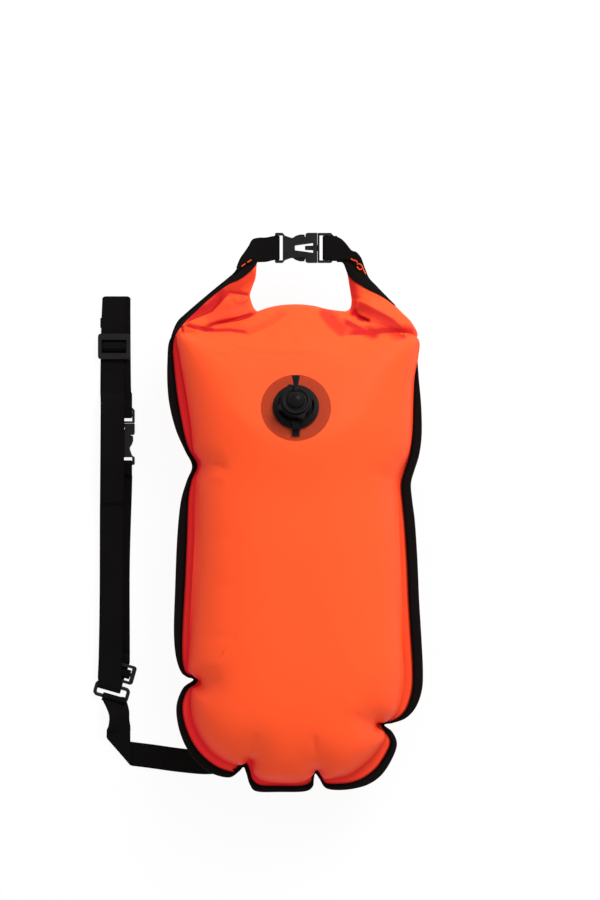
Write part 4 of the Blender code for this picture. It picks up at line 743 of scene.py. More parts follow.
neck_points = neck_points.reshape(-1, 3)
upward = np.clip(np.tile(bulge, len(neck_rows)) * EDGE_SHARPNESS, 0.0, 1.0)
neck_places = to_photo(neck_points)
root = smooth_step(np.clip((neck_places[:, 1] - ROOT_ROW) / ROOT_RUN, 0.0, 1.0))
inside = (np.clip((neck_places[:, 0] - ROOT_SIDES[0]) / SIDE_RUN, 0.0, 1.0)
          * np.clip((ROOT_SIDES[1] - neck_places[:, 0]) / SIDE_RUN, 0.0, 1.0))
neck_points[:, 2] += upward * root * inside * NECK_ROOT_RISE * (1.0 - blown_share.ravel())
print("neck points:", len(neck_points))

# %% [markdown]
# ## Pleats of the mouth
#
# Every pleat of the photograph is pressed into the upper side of the roll: a line of pixels, a
# height in metres, and the widths of its two flanks. A faint unevenness goes over the rest, and
# the underside is left a little wavy.

# %% Pleats of the mouth
NECK_PLEATS = (
    (((186.6, 323), (195, 318), (203, 315), (210.6, 310.6), (216.4, 303.2), (221, 295.5), (228, 292),
      (240.5, 294.3), (249.6, 296)), -0.0046, 8.0, 2.2),
    (((190, 313), (203, 305), (213, 296), (224, 287), (240, 285)), 0.0016, 5.0, 5.0),
    (((232.2, 295.7), (233, 299), (235.5, 301.7), (240.5, 302.9), (244.6, 301.3), (249, 297.8)),
     0.0012, 4.0, 1.2),
    (((200, 322), (214, 314), (226, 305), (240, 306)), 0.0018, 5.0, 6.0),
    (((206.5, 325.6), (211.5, 324.7), (223, 322.7), (236.3, 320.2), (246.3, 316.9), (255.4, 313.1)),
     -0.0050, 3.2, 4.5),
    (((213, 320), (223.9, 316.5), (236.3, 312.5), (249.6, 307.5)), 0.0012, 5.0, 5.0),
    (((186.6, 325.6), (195, 326.5), (205.7, 329.7), (213.9, 330.1), (221.4, 329.3), (228, 330.5),
      (240, 332), (247.9, 333.4)), -0.0036, 4.0, 2.2),
    (((182.4, 325.6), (182.7, 329), (184.1, 333)), -0.0025, 1.5, 1.5),
    (((248, 333.4), (252, 332), (261.2, 328), (273.7, 319.8), (285.3, 311.5)), -0.0010, 6.0, 6.0),
    (((354.2, 301.5), (363.5, 305.2), (373.6, 309.2), (380.3, 312.6), (387, 316.6), (393.7, 320.6),
      (400.4, 325.3), (407.1, 330), (413.8, 334)), 0.0034, 12.0, 4.0),
    (((352, 308), (356.5, 314.5), (361, 318.6), (370.9, 322.8)), -0.0060, 3.2, 1.8),
    (((348.8, 314), (358, 322), (370.9, 325), (380, 325.5)), 0.0013, 2.0, 3.0),
    (((352, 326), (360, 330), (370, 333), (380, 333.8), (400, 333.3), (416, 334.5)), -0.0038, 5.0, 2.0),
    (((349.5, 321.3), (357.5, 325.3), (366.9, 328.6), (376, 330)), -0.0016, 2.5, 2.5),
    (((326.7, 318.6), (335, 327), (343.4, 333.3)), -0.0022, 6.0, 5.0),
    (((286, 334), (287, 322), (290, 308)), -0.0006, 6.0, 8.0),
    (((314, 334), (316, 322), (313, 310)), -0.0007, 7.0, 6.0),
    (((352, 288), (362, 293), (376, 298), (388, 304)), -0.0010, 3.0, 4.0),
)
NECK_FADE = 0.28
UPPER_WAVE = (0.00045, 0.030, 4)
UNDER_WAVE = (0.0006, 0.022, 5)
WAVES = 9
WAVE_SPREAD = (0.7, 1.6)
WAVE_SUM = 5.0


def soft_noise(points, pitch, seed):
    """Smooth random heights between -1 and 1, the same in each run."""
    picker = np.random.default_rng(seed)
    total = np.zeros(len(points))
    for _ in range(WAVES):
        angle = picker.uniform(0.0, 2.0 * math.pi)
        wave = picker.uniform(*WAVE_SPREAD) / pitch
        phase = picker.uniform(0.0, 2.0 * math.pi)
        total += np.sin(2.0 * math.pi * wave * (points[:, 0] * math.cos(angle)
                                                + points[:, 1] * math.sin(angle)) + phase)
    return total / WAVE_SUM


pressed = np.zeros(len(neck_points))
for line, height, left, right in NECK_PLEATS:
    pressed += pleat(neck_places, line, height, left, right, fade=NECK_FADE)
neck_points[:, 2] += upward * (pressed + UPPER_WAVE[0] * soft_noise(neck_points, *UPPER_WAVE[1:]))
neck_points[:, 2] -= (1.0 - upward) * UNDER_WAVE[0] * np.abs(soft_noise(neck_points, *UNDER_WAVE[1:]))
print("deepest pleat mm:", round(float(pressed.min()) * 1000, 1))

# %% [markdown]
# ## Where the mouth lands on the dome
#
# The roll may not sink into the blown-up part, so each point stays on or over the dome, with a
# soft change from one to the other. In its middle the roll runs out into the dome without an
# edge: there its last strip takes the dome's own height and then dives just under it.

# %% Landing of the mouth
SOFT_COLUMNS = (200, 240, 300, 330, 352)
SOFT_EDGES = (0.0008, 0.0040, 0.0055, 0.0040, 0.0008)
FOOT_ROW = 330.2
FOOT_SIDES = (181.0, 406.0)
MOUTH_LANDING = 0.20
LANDING_LEVEL = 0.02
MOUTH_OVERLAP = 0.00015
MOUTH_DIVE = 0.0006
DIVE_SHARE = 0.04

on_seam = to_photo(np.column_stack((neck_points[:, :2], np.full(len(neck_points), SEAM_Z))))
in_foot = (on_seam[:, 1] > FOOT_ROW) & (on_seam[:, 0] > FOOT_SIDES[0]) & (on_seam[:, 0] < FOOT_SIDES[1])
dome = front_height(neck_points[:, :2], np.where(in_foot, blown_up(neck_points[:, :2]), 0.0))
gap = neck_points[:, 2] - dome
past_middle = np.tile(1.0 - across, len(neck_rows))
soft = np.interp(neck_places[:, 0], SOFT_COLUMNS, SOFT_EDGES) * np.clip(past_middle / MOUTH_LANDING, 0.0, 1.0)
eased = (neck_points[:, 2] + dome + np.sqrt(gap ** 2 + soft ** 2)) / 2.0
neck_points[:, 2] += (eased - neck_points[:, 2]) * upward
landed = smooth_step(np.clip(1.0 - (past_middle - LANDING_LEVEL) / MOUTH_LANDING, 0.0, 1.0))
landed = landed * np.clip(blown_share.ravel() * 2.0, 0.0, 1.0)
neck_points[:, 2] += (dome + MOUTH_OVERLAP - neck_points[:, 2]) * landed
neck_points[:, 2] -= MOUTH_DIVE * landed * np.clip(1.0 - past_middle / DIVE_SHARE, 0.0, 1.0)
print("mouth reaches mm:", round(float(neck_points[:, 2].max()) * 1000, 1))

# %% [markdown]
# ## Painted shade in the folds
#
# In a fold the red cloth lights itself, so a painted shade deepens its colour on the side that
# turns away from the lamp. Each row is a line of pixels, how deep the painted shade goes, and how
# wide the band is on both sides of the line. Where two bands meet, the deeper one counts.

# %% Painted shade of the mouth
NECK_SHADES = (
    (((184.6, 323.9), (193, 319.4), (201.2, 316), (211.7, 311.7), (220.4, 303), (226, 296.4), (232, 294)),
     0.88, 18.0, 0.8),
    (((224, 294.5), (230, 292.6), (238.7, 293.8), (250.5, 295.8)), 0.85, 5.0, 1.1),
    (((228, 284), (236, 288.5), (244, 293)), 0.62, 3.5, 3.5),
    (((222, 286), (238, 280), (254, 268)), 0.62, 18.0, 18.0),
    (((206, 320), (226, 311), (250, 303)), 0.36, 15.0, 15.0),
    (((233.2, 296.5), (234.2, 299.5), (237, 302), (243.1, 303.1), (249.7, 298.6)), 0.50, 1.3, 1.3),
    (((205, 328.2), (216, 324.8), (225.6, 322.6), (238.7, 320.4), (248.3, 317.4), (258, 312.6)),
     0.86, 6.5, 0.8),
    (((184.5, 325.5), (193.3, 328.4), (205.5, 331.2), (216.9, 331)), 0.90, 5.5, 0.9),
    (((200, 330.6), (216.9, 331), (230, 330.7), (244.9, 332.6), (249.6, 334.6)), 0.80, 4.0, 1.6),
    (((181.4, 324.5), (182.2, 329), (184.1, 334)), 0.92, 1.7, 1.7),
    (((228, 329), (243, 331), (249.2, 334.4), (260.6, 329.2), (272.8, 324), (288, 311.7)), 0.24, 9.0, 1.6),
    (((347.8, 268), (349, 284), (350, 292), (352.4, 303)), 0.84, 13.0, 2.5),
    (((352, 299.5), (364.7, 304), (374.6, 309), (383.7, 314), (393.7, 319.8), (402, 328), (415, 333.4)),
     0.78, 0.9, 17.0),
    (((352.4, 299), (352.8, 308), (354, 317)), 0.84, 8.0, 5.0),
    (((356, 311), (367, 315.5), (378, 321)), 0.45, 7.0, 6.0),
    (((349.5, 299), (351.5, 309), (359, 318), (366, 321)), 0.95, 4.5, 3.0),
    (((349, 312.4), (358, 317), (364, 320), (371, 323)), 1.00, 5.5, 0.8),
    (((343, 318.5), (356, 325.4), (368, 331.4), (380, 335)), 0.84, 1.5, 8.0),
    (((345, 334.8), (362, 334.6), (376.3, 334.3), (382.9, 333), (403.6, 333), (414, 334.2), (419, 335)),
     0.86, 10.0, 0.7),
    (((321, 308), (329, 320), (337.3, 328.4), (347, 334.6)), 0.62, 12.0, 7.0),
)

neck_painted_shade = np.zeros(len(neck_points))
for line, amount, left, right in NECK_SHADES:
    neck_painted_shade = np.maximum(neck_painted_shade, shade_band(neck_places, line, amount, left, right))
neck_painted_shade *= upward
print("bands of deep colour:", len(NECK_SHADES))

# %% [markdown]
# ## The mouth in two pieces
#
# The loft is cut into a long piece that stays on the buoy and a short one at the right, which is
# kept as a piece of its own.

# %% The two pieces of the folded mouth
NECK_SPLIT_ROW = 16

split = NECK_SPLIT_ROW * NECK_STEPS
main_points = neck_points[:(split + 1) * NECK_SECTION]
end_points = neck_points[split * NECK_SECTION:]
main_faces = tube_faces(split + 1, NECK_SECTION)
end_faces = tube_faces(len(neck_rows) - split, NECK_SECTION)
folded_mouth = mesh_object("folded_mouth", main_points, main_faces, orange_cloth, "buoy")
set_painted_shade(folded_mouth, neck_painted_shade[:len(main_points)])
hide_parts("mouth_roll")
folded_end = mesh_object("folded_mouth_end", end_points, end_faces, orange_cloth, None)
set_painted_shade(folded_end, neck_painted_shade[-len(end_points):])
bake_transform(folded_end)
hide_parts("mouth_end_right")
neck_tree = BVHTree.FromPolygons([Vector(p) for p in neck_points],
                                 tube_faces(len(neck_rows), NECK_SECTION, closed_ends=False))
print("mouth pieces:", folded_mouth.name, folded_end.name)

# %% [markdown]
# ## Webbing and tape
#
# Polyester webbing is woven in ribs across its width, with a plain selvedge on both edges.
# The ribs are far too fine to model one by one, so they are a bump that reads how far along
# and how far across the strap each point lies. Those two lengths are kept on the mesh as a
# texture map in metres, which bends with the strap.

# %% Webbing and tape finishes
WEBBING_BLACK = (0.0016, 0.0014, 0.0014, 1.0)
WEBBING_WORN = (0.0075, 0.0066, 0.0062, 1.0)
TAPE_BLACK = (0.0030, 0.0020, 0.0018, 1.0)
CROSS_PITCH = 1.6
STRAP_MAP = "strap"
WEB_WIDTH = 0.025
WEB_THICKNESS = 0.0016
WOVEN_HALF = 0.0108
WEBBING_SHINE = 0.05
FLUFF = 0.006
FLUFF_ROUGHNESS = 0.6
FLUFF_SCALE = 420.0
WEAR_SCALE = 26.0
WEAR_LEAST = 0.15
SELVEDGE_RIBS = 0.25
RIB_BUMP = 0.7


def woven_black(name, colour, rib_pitch, roughness, depth):
    """Black woven polyester with ribs, a fine cross thread and a little fluff."""
    made, tree, output = new_material(name)
    shader = add_node(tree, "ShaderNodeBsdfPrincipled", Roughness=roughness)
    shader.inputs["Specular IOR Level"].default_value = WEBBING_SHINE
    shader.inputs["Sheen Weight"].default_value = FLUFF
    shader.inputs["Sheen Roughness"].default_value = FLUFF_ROUGHNESS
    where = add_node(tree, "ShaderNodeUVMap", uv_map=STRAP_MAP)
    ribs = thread_grid(tree, where.outputs["UV"], rib_pitch * 2.0, rib_pitch * CROSS_PITCH)
    across = tree.nodes.new("ShaderNodeSeparateXYZ")
    tree.links.new(where.outputs["UV"], across.inputs[0])
    inner = add_math(tree, "LESS_THAN", add_math(tree, "ABSOLUTE", across.outputs[0], 0.0), WOVEN_HALF)
    ribbed = add_math(tree, "MULTIPLY_ADD", inner, 1.0 - SELVEDGE_RIBS)
    ribbed.node.inputs[2].default_value = SELVEDGE_RIBS
    ribs = add_math(tree, "MULTIPLY", ribs, ribbed)
    place = add_node(tree, "ShaderNodeTexCoord")
    wear = add_math(tree, "ADD", noise_on(tree, place, WEAR_SCALE, 3.0), WEAR_LEAST)
    light = add_math(tree, "MULTIPLY", ribs, wear, clamp=True)
    tree.links.new(two_colours(tree, light, colour, WEBBING_WORN), shader.inputs["Base Color"])
    fluff = add_math(tree, "MULTIPLY", noise_on(tree, place, FLUFF_SCALE, 3.0), 0.5)
    finish_with_bump(tree, shader, output, add_math(tree, "ADD", ribs, fluff), RIB_BUMP, depth)
    return made


black_webbing = woven_black("black_belt_webbing", WEBBING_BLACK, rib_pitch=0.0011, roughness=0.72,
                            depth=0.0004)
black_tape = woven_black("black_edge_tape", TAPE_BLACK, rib_pitch=0.0008, roughness=0.75, depth=0.0002)
print("webbing finishes:", black_webbing.name, black_tape.name)

# %% [markdown]
# ## Straps
#
# A strap is a grid of middle points that is given its thickness on both sides, thinner at the
# round selvedges. The helpers work for any route, so the handle, the belt and the leash share
# them.

# %% Helpers for straps
ACROSS = np.sin(np.linspace(-math.pi / 2, math.pi / 2, 25)) / 2
SELVEDGE_SHARE = 0.05
SELVEDGE_LEAST = 0.4


def woven_sheet(name, grid, finish, body, thickness=WEB_THICKNESS):
    """A woven strap around a grid of middle points, with round selvedges and a map in metres.

    The rows of the grid run along the strap and its columns across it, at the shares in ACROSS.
    """
    grid = np.array(grid, dtype=float)
    rows, columns = grid.shape[:2]
    out = np.cross(np.gradient(grid, axis=0), np.gradient(grid, axis=1))
    out /= np.maximum(np.linalg.norm(out, axis=2), 1e-12)[:, :, None]
    edge = np.sqrt(np.clip((0.5 - np.abs(ACROSS)) / SELVEDGE_SHARE, 0.0, 1.0))
    half = (thickness / 2 * (SELVEDGE_LEAST + (1.0 - SELVEDGE_LEAST) * edge))[None, :, None]
    rings = np.concatenate((grid + out * half, (grid - out * half)[:, ::-1]), axis=1)
    steps = np.linalg.norm(np.diff(grid[:, columns // 2], axis=0), axis=1)
    along = np.concatenate(([0.0], np.cumsum(steps)))
    widths = np.linalg.norm(grid[:, -1] - grid[:, 0], axis=1)
    map_u = widths[:, None] * np.concatenate((ACROSS, ACROSS[::-1]))[None, :]
    map_v = np.repeat(along[:, None], 2 * columns, axis=1)
    piece = mesh_object(name, rings.reshape(-1, 3), tube_faces(rows, 2 * columns), finish, body)
    for end in list(piece.data.polygons)[-2:]:
        end.use_smooth = False
    keep_map(piece, np.stack((map_u, map_v), axis=2).reshape(-1, 2))
    return piece


def keep_map(piece, places):
    """Keep two lengths for each point of a piece as its texture map."""
    layer = piece.data.uv_layers.new(name=STRAP_MAP)
    indices = np.zeros(len(piece.data.loops), dtype=np.int32)
    piece.data.loops.foreach_get("vertex_index", indices)
    layer.data.foreach_set("uv", np.array(places)[indices].astype(np.float32).ravel())


def strap_grid(rows, width=WEB_WIDTH, square=True):
    """Middle points of a strap from rows of a centre and the direction of its width.

    A square strap keeps its width square to its run; the others keep it just as it is given.
    """
    rows = np.array(rows, dtype=float)
    centres, sides = rows[:, :3], rows[:, 3:6]
    if square:
        runs = np.gradient(centres, axis=0)
        runs /= np.maximum(np.linalg.norm(runs, axis=1), 1e-9)[:, None]
        sides = sides - runs * (sides * runs).sum(axis=1)[:, None]
    sides = sides / np.linalg.norm(sides, axis=1)[:, None]
    return centres[:, None, :] + sides[:, None, :] * (ACROSS * width)[None, :, None]


print("places across a strap:", len(ACROSS))

# %% [markdown]
# ## Threads and wires
#
# A thread or a wire is a round tube along a line of points. Its rings are set square to the run
# and to the vertical, or to another direction where the line itself is steep.

# %% Helper for threads and wires
STEEP_RUN = 0.94


def tube_along(name, points, radius, sides, finish, body, closed=False):
    """A round thread or wire along a line of points."""
    points = np.array(points, dtype=float)
    runs = np.gradient(points, axis=0)
    if closed:
        runs = np.roll(points, -1, axis=0) - np.roll(points, 1, axis=0)
    runs /= np.maximum(np.linalg.norm(runs, axis=1), 1e-9)[:, None]
    up = np.tile(np.array((0.0, 0.0, 1.0)), (len(points), 1))
    steep = np.abs(runs[:, 2]) > STEEP_RUN
    up[steep] = (0.0, 1.0, 0.0)
    side = np.cross(runs, up)
    side /= np.linalg.norm(side, axis=1)[:, None]
    out = np.cross(side, runs)
    ring = []
    for step in range(sides):
        angle = 2.0 * math.pi * step / sides
        ring.append(points + radius * (side * math.cos(angle) + out * math.sin(angle)))
    stacked = np.stack(ring, axis=1).reshape(-1, 3)
    faces = tube_faces(len(points), sides, closed_ends=not closed)
    if closed:
        last = (len(points) - 1) * sides
        for j in range(sides):
            faces.append((last + j, last + (j + 1) % sides, (j + 1) % sides, j))
    return mesh_object(name, stacked, faces, finish, body)


print("thread helper ready")

# %% [markdown]
# ## Webbing on a bar
#
# Each end of webbing at a buckle goes round a bar and is sewn to itself. The tail lies flat
# under the part that leaves, bends away from it to pass the thickness of the bar, and makes
# half a turn. The same helper serves both halves of both buckles and the leash.

# %% Helper for webbing on a bar
CLEARANCE = 0.0003
TAIL = 0.012
BAR_RADIUS = 0.0015
END_BAR_HOLD = 0.0092
FEMALE_BAR = -0.0281
MALE_BAR = 0.0228


def around_bar(bar, pull, up, radius=BAR_RADIUS, hold=0.0, tail=TAIL):
    """Centre points of webbing: its sewn tail and half a turn round a bar.

    pull points from the bar to where the webbing leaves, up to the side on which it leaves, and
    the tail stays on the other side over the length hold.
    """
    bar, pull, up = np.array(bar), np.array(pull), np.array(up)
    wrap = radius + CLEARANCE + WEB_THICKNESS / 2
    beside = wrap - WEB_THICKNESS - CLEARANCE
    rows = [bar + pull * (hold + tail) + up * beside,
            bar + pull * (hold + tail * 0.70) + up * beside,
            bar + pull * (hold + tail * 0.45) + up * (beside - WEB_THICKNESS * 0.6),
            bar + pull * (hold + tail * 0.15) - up * (wrap - WEB_THICKNESS * 0.3)]
    if hold:
        rows.append(bar + pull * hold - up * wrap)
    rows = list(smooth_rows(rows, 4))
    for angle in np.linspace(0.0, math.pi, 15):
        rows.append(bar - pull * (wrap * math.sin(angle)) - up * (wrap * math.cos(angle)))
    return rows


print("webbing on a bar:", len(around_bar((0, 0, 0), (1, 0, 0), (0, 0, 1))), "points")

# %% [markdown]
# ## Webbing and tape on the mouth
#
# A narrow tape is sewn along the left shoulder and runs up to the webbing of the buckle. On
# the right the webbing and a second layer under it lie along the edge of the cloth. Each is a
# flat strip between two edges that are read from the photograph, laid on the cloth below by
# dropping a plumb line on it at every point. The webbing starts on its bar of the buckle.

# %% Helpers for strips on the mouth
STRIP_Z = 0.074
SHORT_TAIL = 0.0022
PLUMB_FROM = 0.2
SMOOTH_TIMES = 6
HANDLE_BUCKLE = (0.0069, 0.3214, SEAM_Z)


def resting_height(x, y, floor_height):
    """Height of the cloth of the mouth under a point of the plan."""
    hit = neck_tree.ray_cast(Vector((x, y, PLUMB_FROM)), Vector((0.0, 0.0, -1.0)))[0]
    return max(hit.z, floor_height) if hit else floor_height


def laid_grid(pairs, lows, lift, steps=6):
    """Middle points of a strip between two edges in pixels, laid on the cloth of the mouth."""
    rows = smooth_rows([(*a, *b, low) for (a, b), low in zip(pairs, lows)], steps)
    shares = ACROSS + 0.5
    grid = np.zeros((len(rows), len(shares), 3))
    for i, (ax, ay, bx, by, low) in enumerate(rows):
        edge_a = from_photo(ax, ay, STRIP_Z)
        edge_b = from_photo(bx, by, STRIP_Z)
        for j, share in enumerate(shares):
            x, y = edge_a * (1.0 - share) + edge_b * share
            grid[i, j] = (x, y, resting_height(x, y, low) + lift)
    heights = grid[:, :, 2]
    for _ in range(SMOOTH_TIMES):
        padded = np.pad(heights, 1, mode="edge")
        smooth = (padded[:-2, 1:-1] + padded[2:, 1:-1] + padded[1:-1, :-2] + padded[1:-1, 2:]) / 4
        heights = np.maximum(heights, smooth) * 0.5 + smooth * 0.5
    grid[:, :, 2] = heights
    return grid


def bar_grid(along, pull, hold):
    """Middle points of the webbing round a bar of the handle's buckle."""
    bar = (HANDLE_BUCKLE[0] + along, HANDLE_BUCKLE[1], HANDLE_BUCKLE[2])
    points = around_bar(bar, (pull, 0.0, 0.0), (0.0, 0.0, 1.0), hold=hold, tail=SHORT_TAIL)
    return strap_grid([(*p, 0.0, -1.0, 0.0) for p in points])


def joined(first, second, steps=5):
    """Two grids of one strap, with a smooth stretch between the end of one and the other."""
    a, b = first[-1], second[0]
    run = np.linalg.norm((b - a).mean(axis=0))
    leave = first[-1] - first[-2]
    leave /= np.maximum(np.linalg.norm(leave, axis=1), 1e-9)[:, None]
    arrive = second[1] - second[0]
    arrive /= np.maximum(np.linalg.norm(arrive, axis=1), 1e-9)[:, None]
    between = []
    for step in range(1, steps):
        t = step / steps
        between.append(a * (2 * t ** 3 - 3 * t ** 2 + 1) + leave * run * (t ** 3 - 2 * t ** 2 + t)
                       + b * (3 * t ** 2 - 2 * t ** 3) + arrive * run * (t ** 3 - t ** 2))
    return np.concatenate((first, np.array(between), second))


print("buckle of the handle at:", HANDLE_BUCKLE)

# %% [markdown]
# ## The four strips
#
# Each row is a place on both edges of a strip, and beside it stands the least height that the
# strip may have there.

# %% Strips on the mouth
TAPE_THICKNESS = 0.0012
TAPE_LIFT = 0.0009
LEFT_LIFT = 0.0012
RIGHT_LIFT = 0.0024
LEFT_TAPE_LOWS = (0.0665,) * 11 + (0.0668, 0.067, 0.067)
RIGHT_TAPE_LOWS = (0.0668,) * 10
LEFT_LOWS = (0.0676, 0.0678, 0.0684, 0.069, 0.0695, 0.070, 0.0705, 0.071)
RIGHT_LOWS = (0.0674, 0.0678, 0.0684, 0.069, 0.0695, 0.070, 0.0705)
LEFT_TAPE = (
    ((168.2, 350), (172.7, 350)), ((169.3, 343), (173.2, 343)), ((171.2, 335), (174.8, 336)),
    ((174.1, 327), (179.0, 329)), ((178.0, 320), (183.4, 323.4)), ((185, 313.4), (189.6, 316.6)),
    ((197.4, 302.6), (201.2, 305.6)), ((207.6, 294), (210.8, 297.2)), ((216.8, 286.4), (220, 289.8)),
    ((225.4, 279.4), (229.2, 283.6)), ((233.3, 272.7), (239.6, 279.2)), ((238.2, 266.5), (248.2, 273.2)),
    ((245, 262.5), (255, 266)), ((252, 260), (257, 262)),
)
LEFT_WEBBING = (
    ((264, 237.2), (264, 261.8)), ((258.5, 237.3), (258.8, 261.9)), ((252.2, 239.2), (255, 262.2)),
    ((248.2, 246), (252.6, 262.8)), ((244.4, 251.6), (248.6, 264)), ((240.6, 257), (244.4, 266)),
    ((238, 262.5), (241, 268.4)), ((236.2, 267.5), (238.4, 271)),
)
RIGHT_TAPE = (
    ((336, 244), (337, 261.8)), ((344, 247), (342.6, 262.4)), ((353, 252), (345.6, 268)),
    ((361, 258), (348.4, 275)), ((365.2, 268), (353, 280.2)), ((369, 277.6), (359.4, 284.6)),
    ((376, 285.2), (368, 289.6)), ((383, 292.6), (377.4, 294)), ((389.6, 299.4), (385.8, 298.6)),
    ((395.5, 305.6), (393.6, 304.4)),
)
RIGHT_WEBBING = (
    ((338.5, 236.9), (338.5, 260.6)), ((342.5, 239.4), (341.6, 259.8)), ((346.9, 244.2), (345.6, 259.4)),
    ((351.6, 250), (349.4, 260)), ((356.6, 252), (353, 263)), ((361, 257.2), (356, 267)),
    ((363.6, 264), (359, 270.6)),
)

left_tape = woven_sheet("left_shoulder_tape", laid_grid(LEFT_TAPE, LEFT_TAPE_LOWS, TAPE_LIFT), black_tape,
                        "buoy", TAPE_THICKNESS)
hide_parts("shoulder_tape")
left_rest = laid_grid(LEFT_WEBBING, LEFT_LOWS, LEFT_LIFT)
left_webbing = woven_sheet("left_handle_webbing", joined(bar_grid(FEMALE_BAR, -1.0, 0.0), left_rest),
                           black_webbing, "buoy")
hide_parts("handle_webbing_left")
right_tape = woven_sheet("right_shoulder_tape", laid_grid(RIGHT_TAPE, RIGHT_TAPE_LOWS, TAPE_LIFT), black_tape,
                         None, TAPE_THICKNESS)
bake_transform(right_tape)
right_rest = laid_grid(RIGHT_WEBBING, RIGHT_LOWS, RIGHT_LIFT)
right_webbing = woven_sheet("right_handle_webbing",
                            joined(bar_grid(MALE_BAR, 1.0, END_BAR_HOLD), right_rest), black_webbing, None)
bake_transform(right_webbing)
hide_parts("handle_webbing_right")
print("strips on the mouth: 4")

# %% [markdown]
# ## Hems that show beside the webbing
#
# The orange cloth is turned over under the webbing, and its hem peeps out in a few thin curls at
# both ends of the handle. Each is a soft thin roll that lies half under the strap beside it.

# %% Hems beside the webbing
HEM_RADIUS = 0.00062
HEM_Z = 0.0742
HEM_PAINTED_SHADE = 0.25
HEM_SIDES = 10
HEMS = (
    ("right_hem_inner", ((350.8, 258.8), (353.6, 260.2), (355.6, 260.6), (357.6, 262.6)), None),
    ("right_hem_loop",
     ((357.0, 264.0), (360.1, 264.1), (361.9, 266.1), (363.2, 269.0), (364.6, 272), (366, 274)), None),
    ("right_hem_tuck", ((357.0, 266.3), (358.2, 268.4), (359.9, 269.6), (361.9, 268.8)), None),
    ("left_hem_upper", ((251.4, 259.8), (249.6, 261.0), (247.2, 262.3)), "buoy"),
    ("left_hem_lower", ((245.4, 263.6), (243.6, 264.9), (241.6, 266.4)), "buoy"),
)
for name, line, body in HEMS:
    points = [(*from_photo(column, row, HEM_Z), HEM_Z) for column, row in smooth_rows(line, 6)]
    hem = tube_along(name, points, HEM_RADIUS, HEM_SIDES, orange_cloth, body)
    # The hems take a slight, even painted shade, as they lie half under the strap.
    set_painted_shade(hem, np.full(len(hem.data.vertices), HEM_PAINTED_SHADE))
    if not body:
        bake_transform(hem)
print("hems:", len(HEMS))

# %% [markdown]
# ## Edge binding and its zigzag seam
#
# The welded rim is wrapped in a folded tape that a zigzag seam holds on both sides. Each pair of
# numbers below is a row of the rim and the share of the weld that the tape covers there. At the
# nicks the tape is bunched, so it covers nearly all of it.

# %% Where the binding runs
BOUND_END = 59 * ROUND_STEPS
BINDING_ROWS = (0, 2, 4.2, 5, 5.8, 8, 12, 13.2, 14, 14.8, 16, 20, 22, 26, 30, 31, 32, 35, 39.2, 40, 40.8,
                45, 48, 53, 55, 59)
BINDING_SHARES = (0.50, 0.57, 0.50, 0.72, 0.48, 0.57, 0.53, 0.58, 0.96, 0.58, 0.42, 0.49, 0.38, 0.60, 0.62,
                  0.90, 0.62, 0.41, 0.50, 0.92, 0.50, 0.51, 0.60, 0.72, 1.0, 1.0)
BINDING_WIDEST = 0.0106
BINDING_LEAST = 0.0045
FACES_IN = 0.3
EVEN_STEPS = 3

bound_rim = rim[:BOUND_END + 1]
bound_in = foot[:BOUND_END + 1] - bound_rim
bound_reach = np.linalg.norm(bound_in, axis=1)
bound_in /= bound_reach[:, None]
rim_run = np.gradient(bound_rim, axis=0)
rim_run /= np.linalg.norm(rim_run, axis=1)[:, None]
square_in = np.column_stack((-rim_run[:, 1], rim_run[:, 0]))
outward = (bound_in * square_in).sum(axis=1) < FACES_IN
bound_in[outward] = square_in[outward]
bound_share = np.interp(np.arange(len(bound_rim)) / ROUND_STEPS, BINDING_ROWS, BINDING_SHARES)
bound_width = np.clip(bound_reach * bound_share, BINDING_LEAST * 0.5, BINDING_WIDEST)
bound_width[outward] = BINDING_LEAST
window = 2 * EVEN_STEPS + 1
bound_width = np.pad(bound_width, EVEN_STEPS, mode="edge")
bound_width = np.convolve(bound_width, np.ones(window) / window, mode="valid")
walked = np.concatenate(([0.0], np.cumsum(np.linalg.norm(np.diff(bound_rim, axis=0), axis=1))))
print("binding length mm:", round(float(walked[-1]) * 1000))

# %% [markdown]
# ## The folded tape
#
# The tape is a thin U of points swept round the rim. It stands a little proud over the cloth and
# waves with the pull of the seam.

# %% Edge binding
BINDING_LEVEL = 0.0012
BINDING_WALL = 0.0009
BINDING_WAVE = (0.00025, 0.016, 8)
BINDING_FACES = 18

wave = BINDING_WAVE[0] * soft_noise(np.column_stack((bound_rim, bound_rim)), *BINDING_WAVE[1:])
binding_points = []
binding_places = []
for i in range(len(bound_rim)):
    width = bound_width[i]
    high = BINDING_LEVEL + BINDING_WALL
    section = ((width, BINDING_LEVEL), (width + 0.0001, high * 0.82), (width - 0.0006, high),
               (width * 0.6, high + 0.00035 + wave[i]), (width * 0.3, high + 0.0003 + wave[i]),
               (0.0012, high), (0.0003, high * 0.8), (0.0, high * 0.35), (0.0, -high * 0.35),
               (0.0003, -high * 0.8), (0.0012, -high), (width * 0.3, -high - 0.0002 + wave[i]),
               (width * 0.6, -high - 0.0002 + wave[i]), (width - 0.0006, -high),
               (width + 0.0001, -high * 0.82), (width, -BINDING_LEVEL), (BINDING_WALL, -BINDING_LEVEL),
               (BINDING_WALL, BINDING_LEVEL))
    for reach, rise in section:
        plan = bound_rim[i] + bound_in[i] * reach
        binding_points.append((plan[0], plan[1], SEAM_Z + rise))
        binding_places.append((reach + abs(rise), walked[i]))
binding_faces = tube_faces(len(bound_rim), BINDING_FACES)
binding = mesh_object("edge_binding_tape", binding_points, binding_faces, black_tape, "buoy")
keep_map(binding, binding_places)
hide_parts("edge_binding")
print("binding points:", len(binding_points))

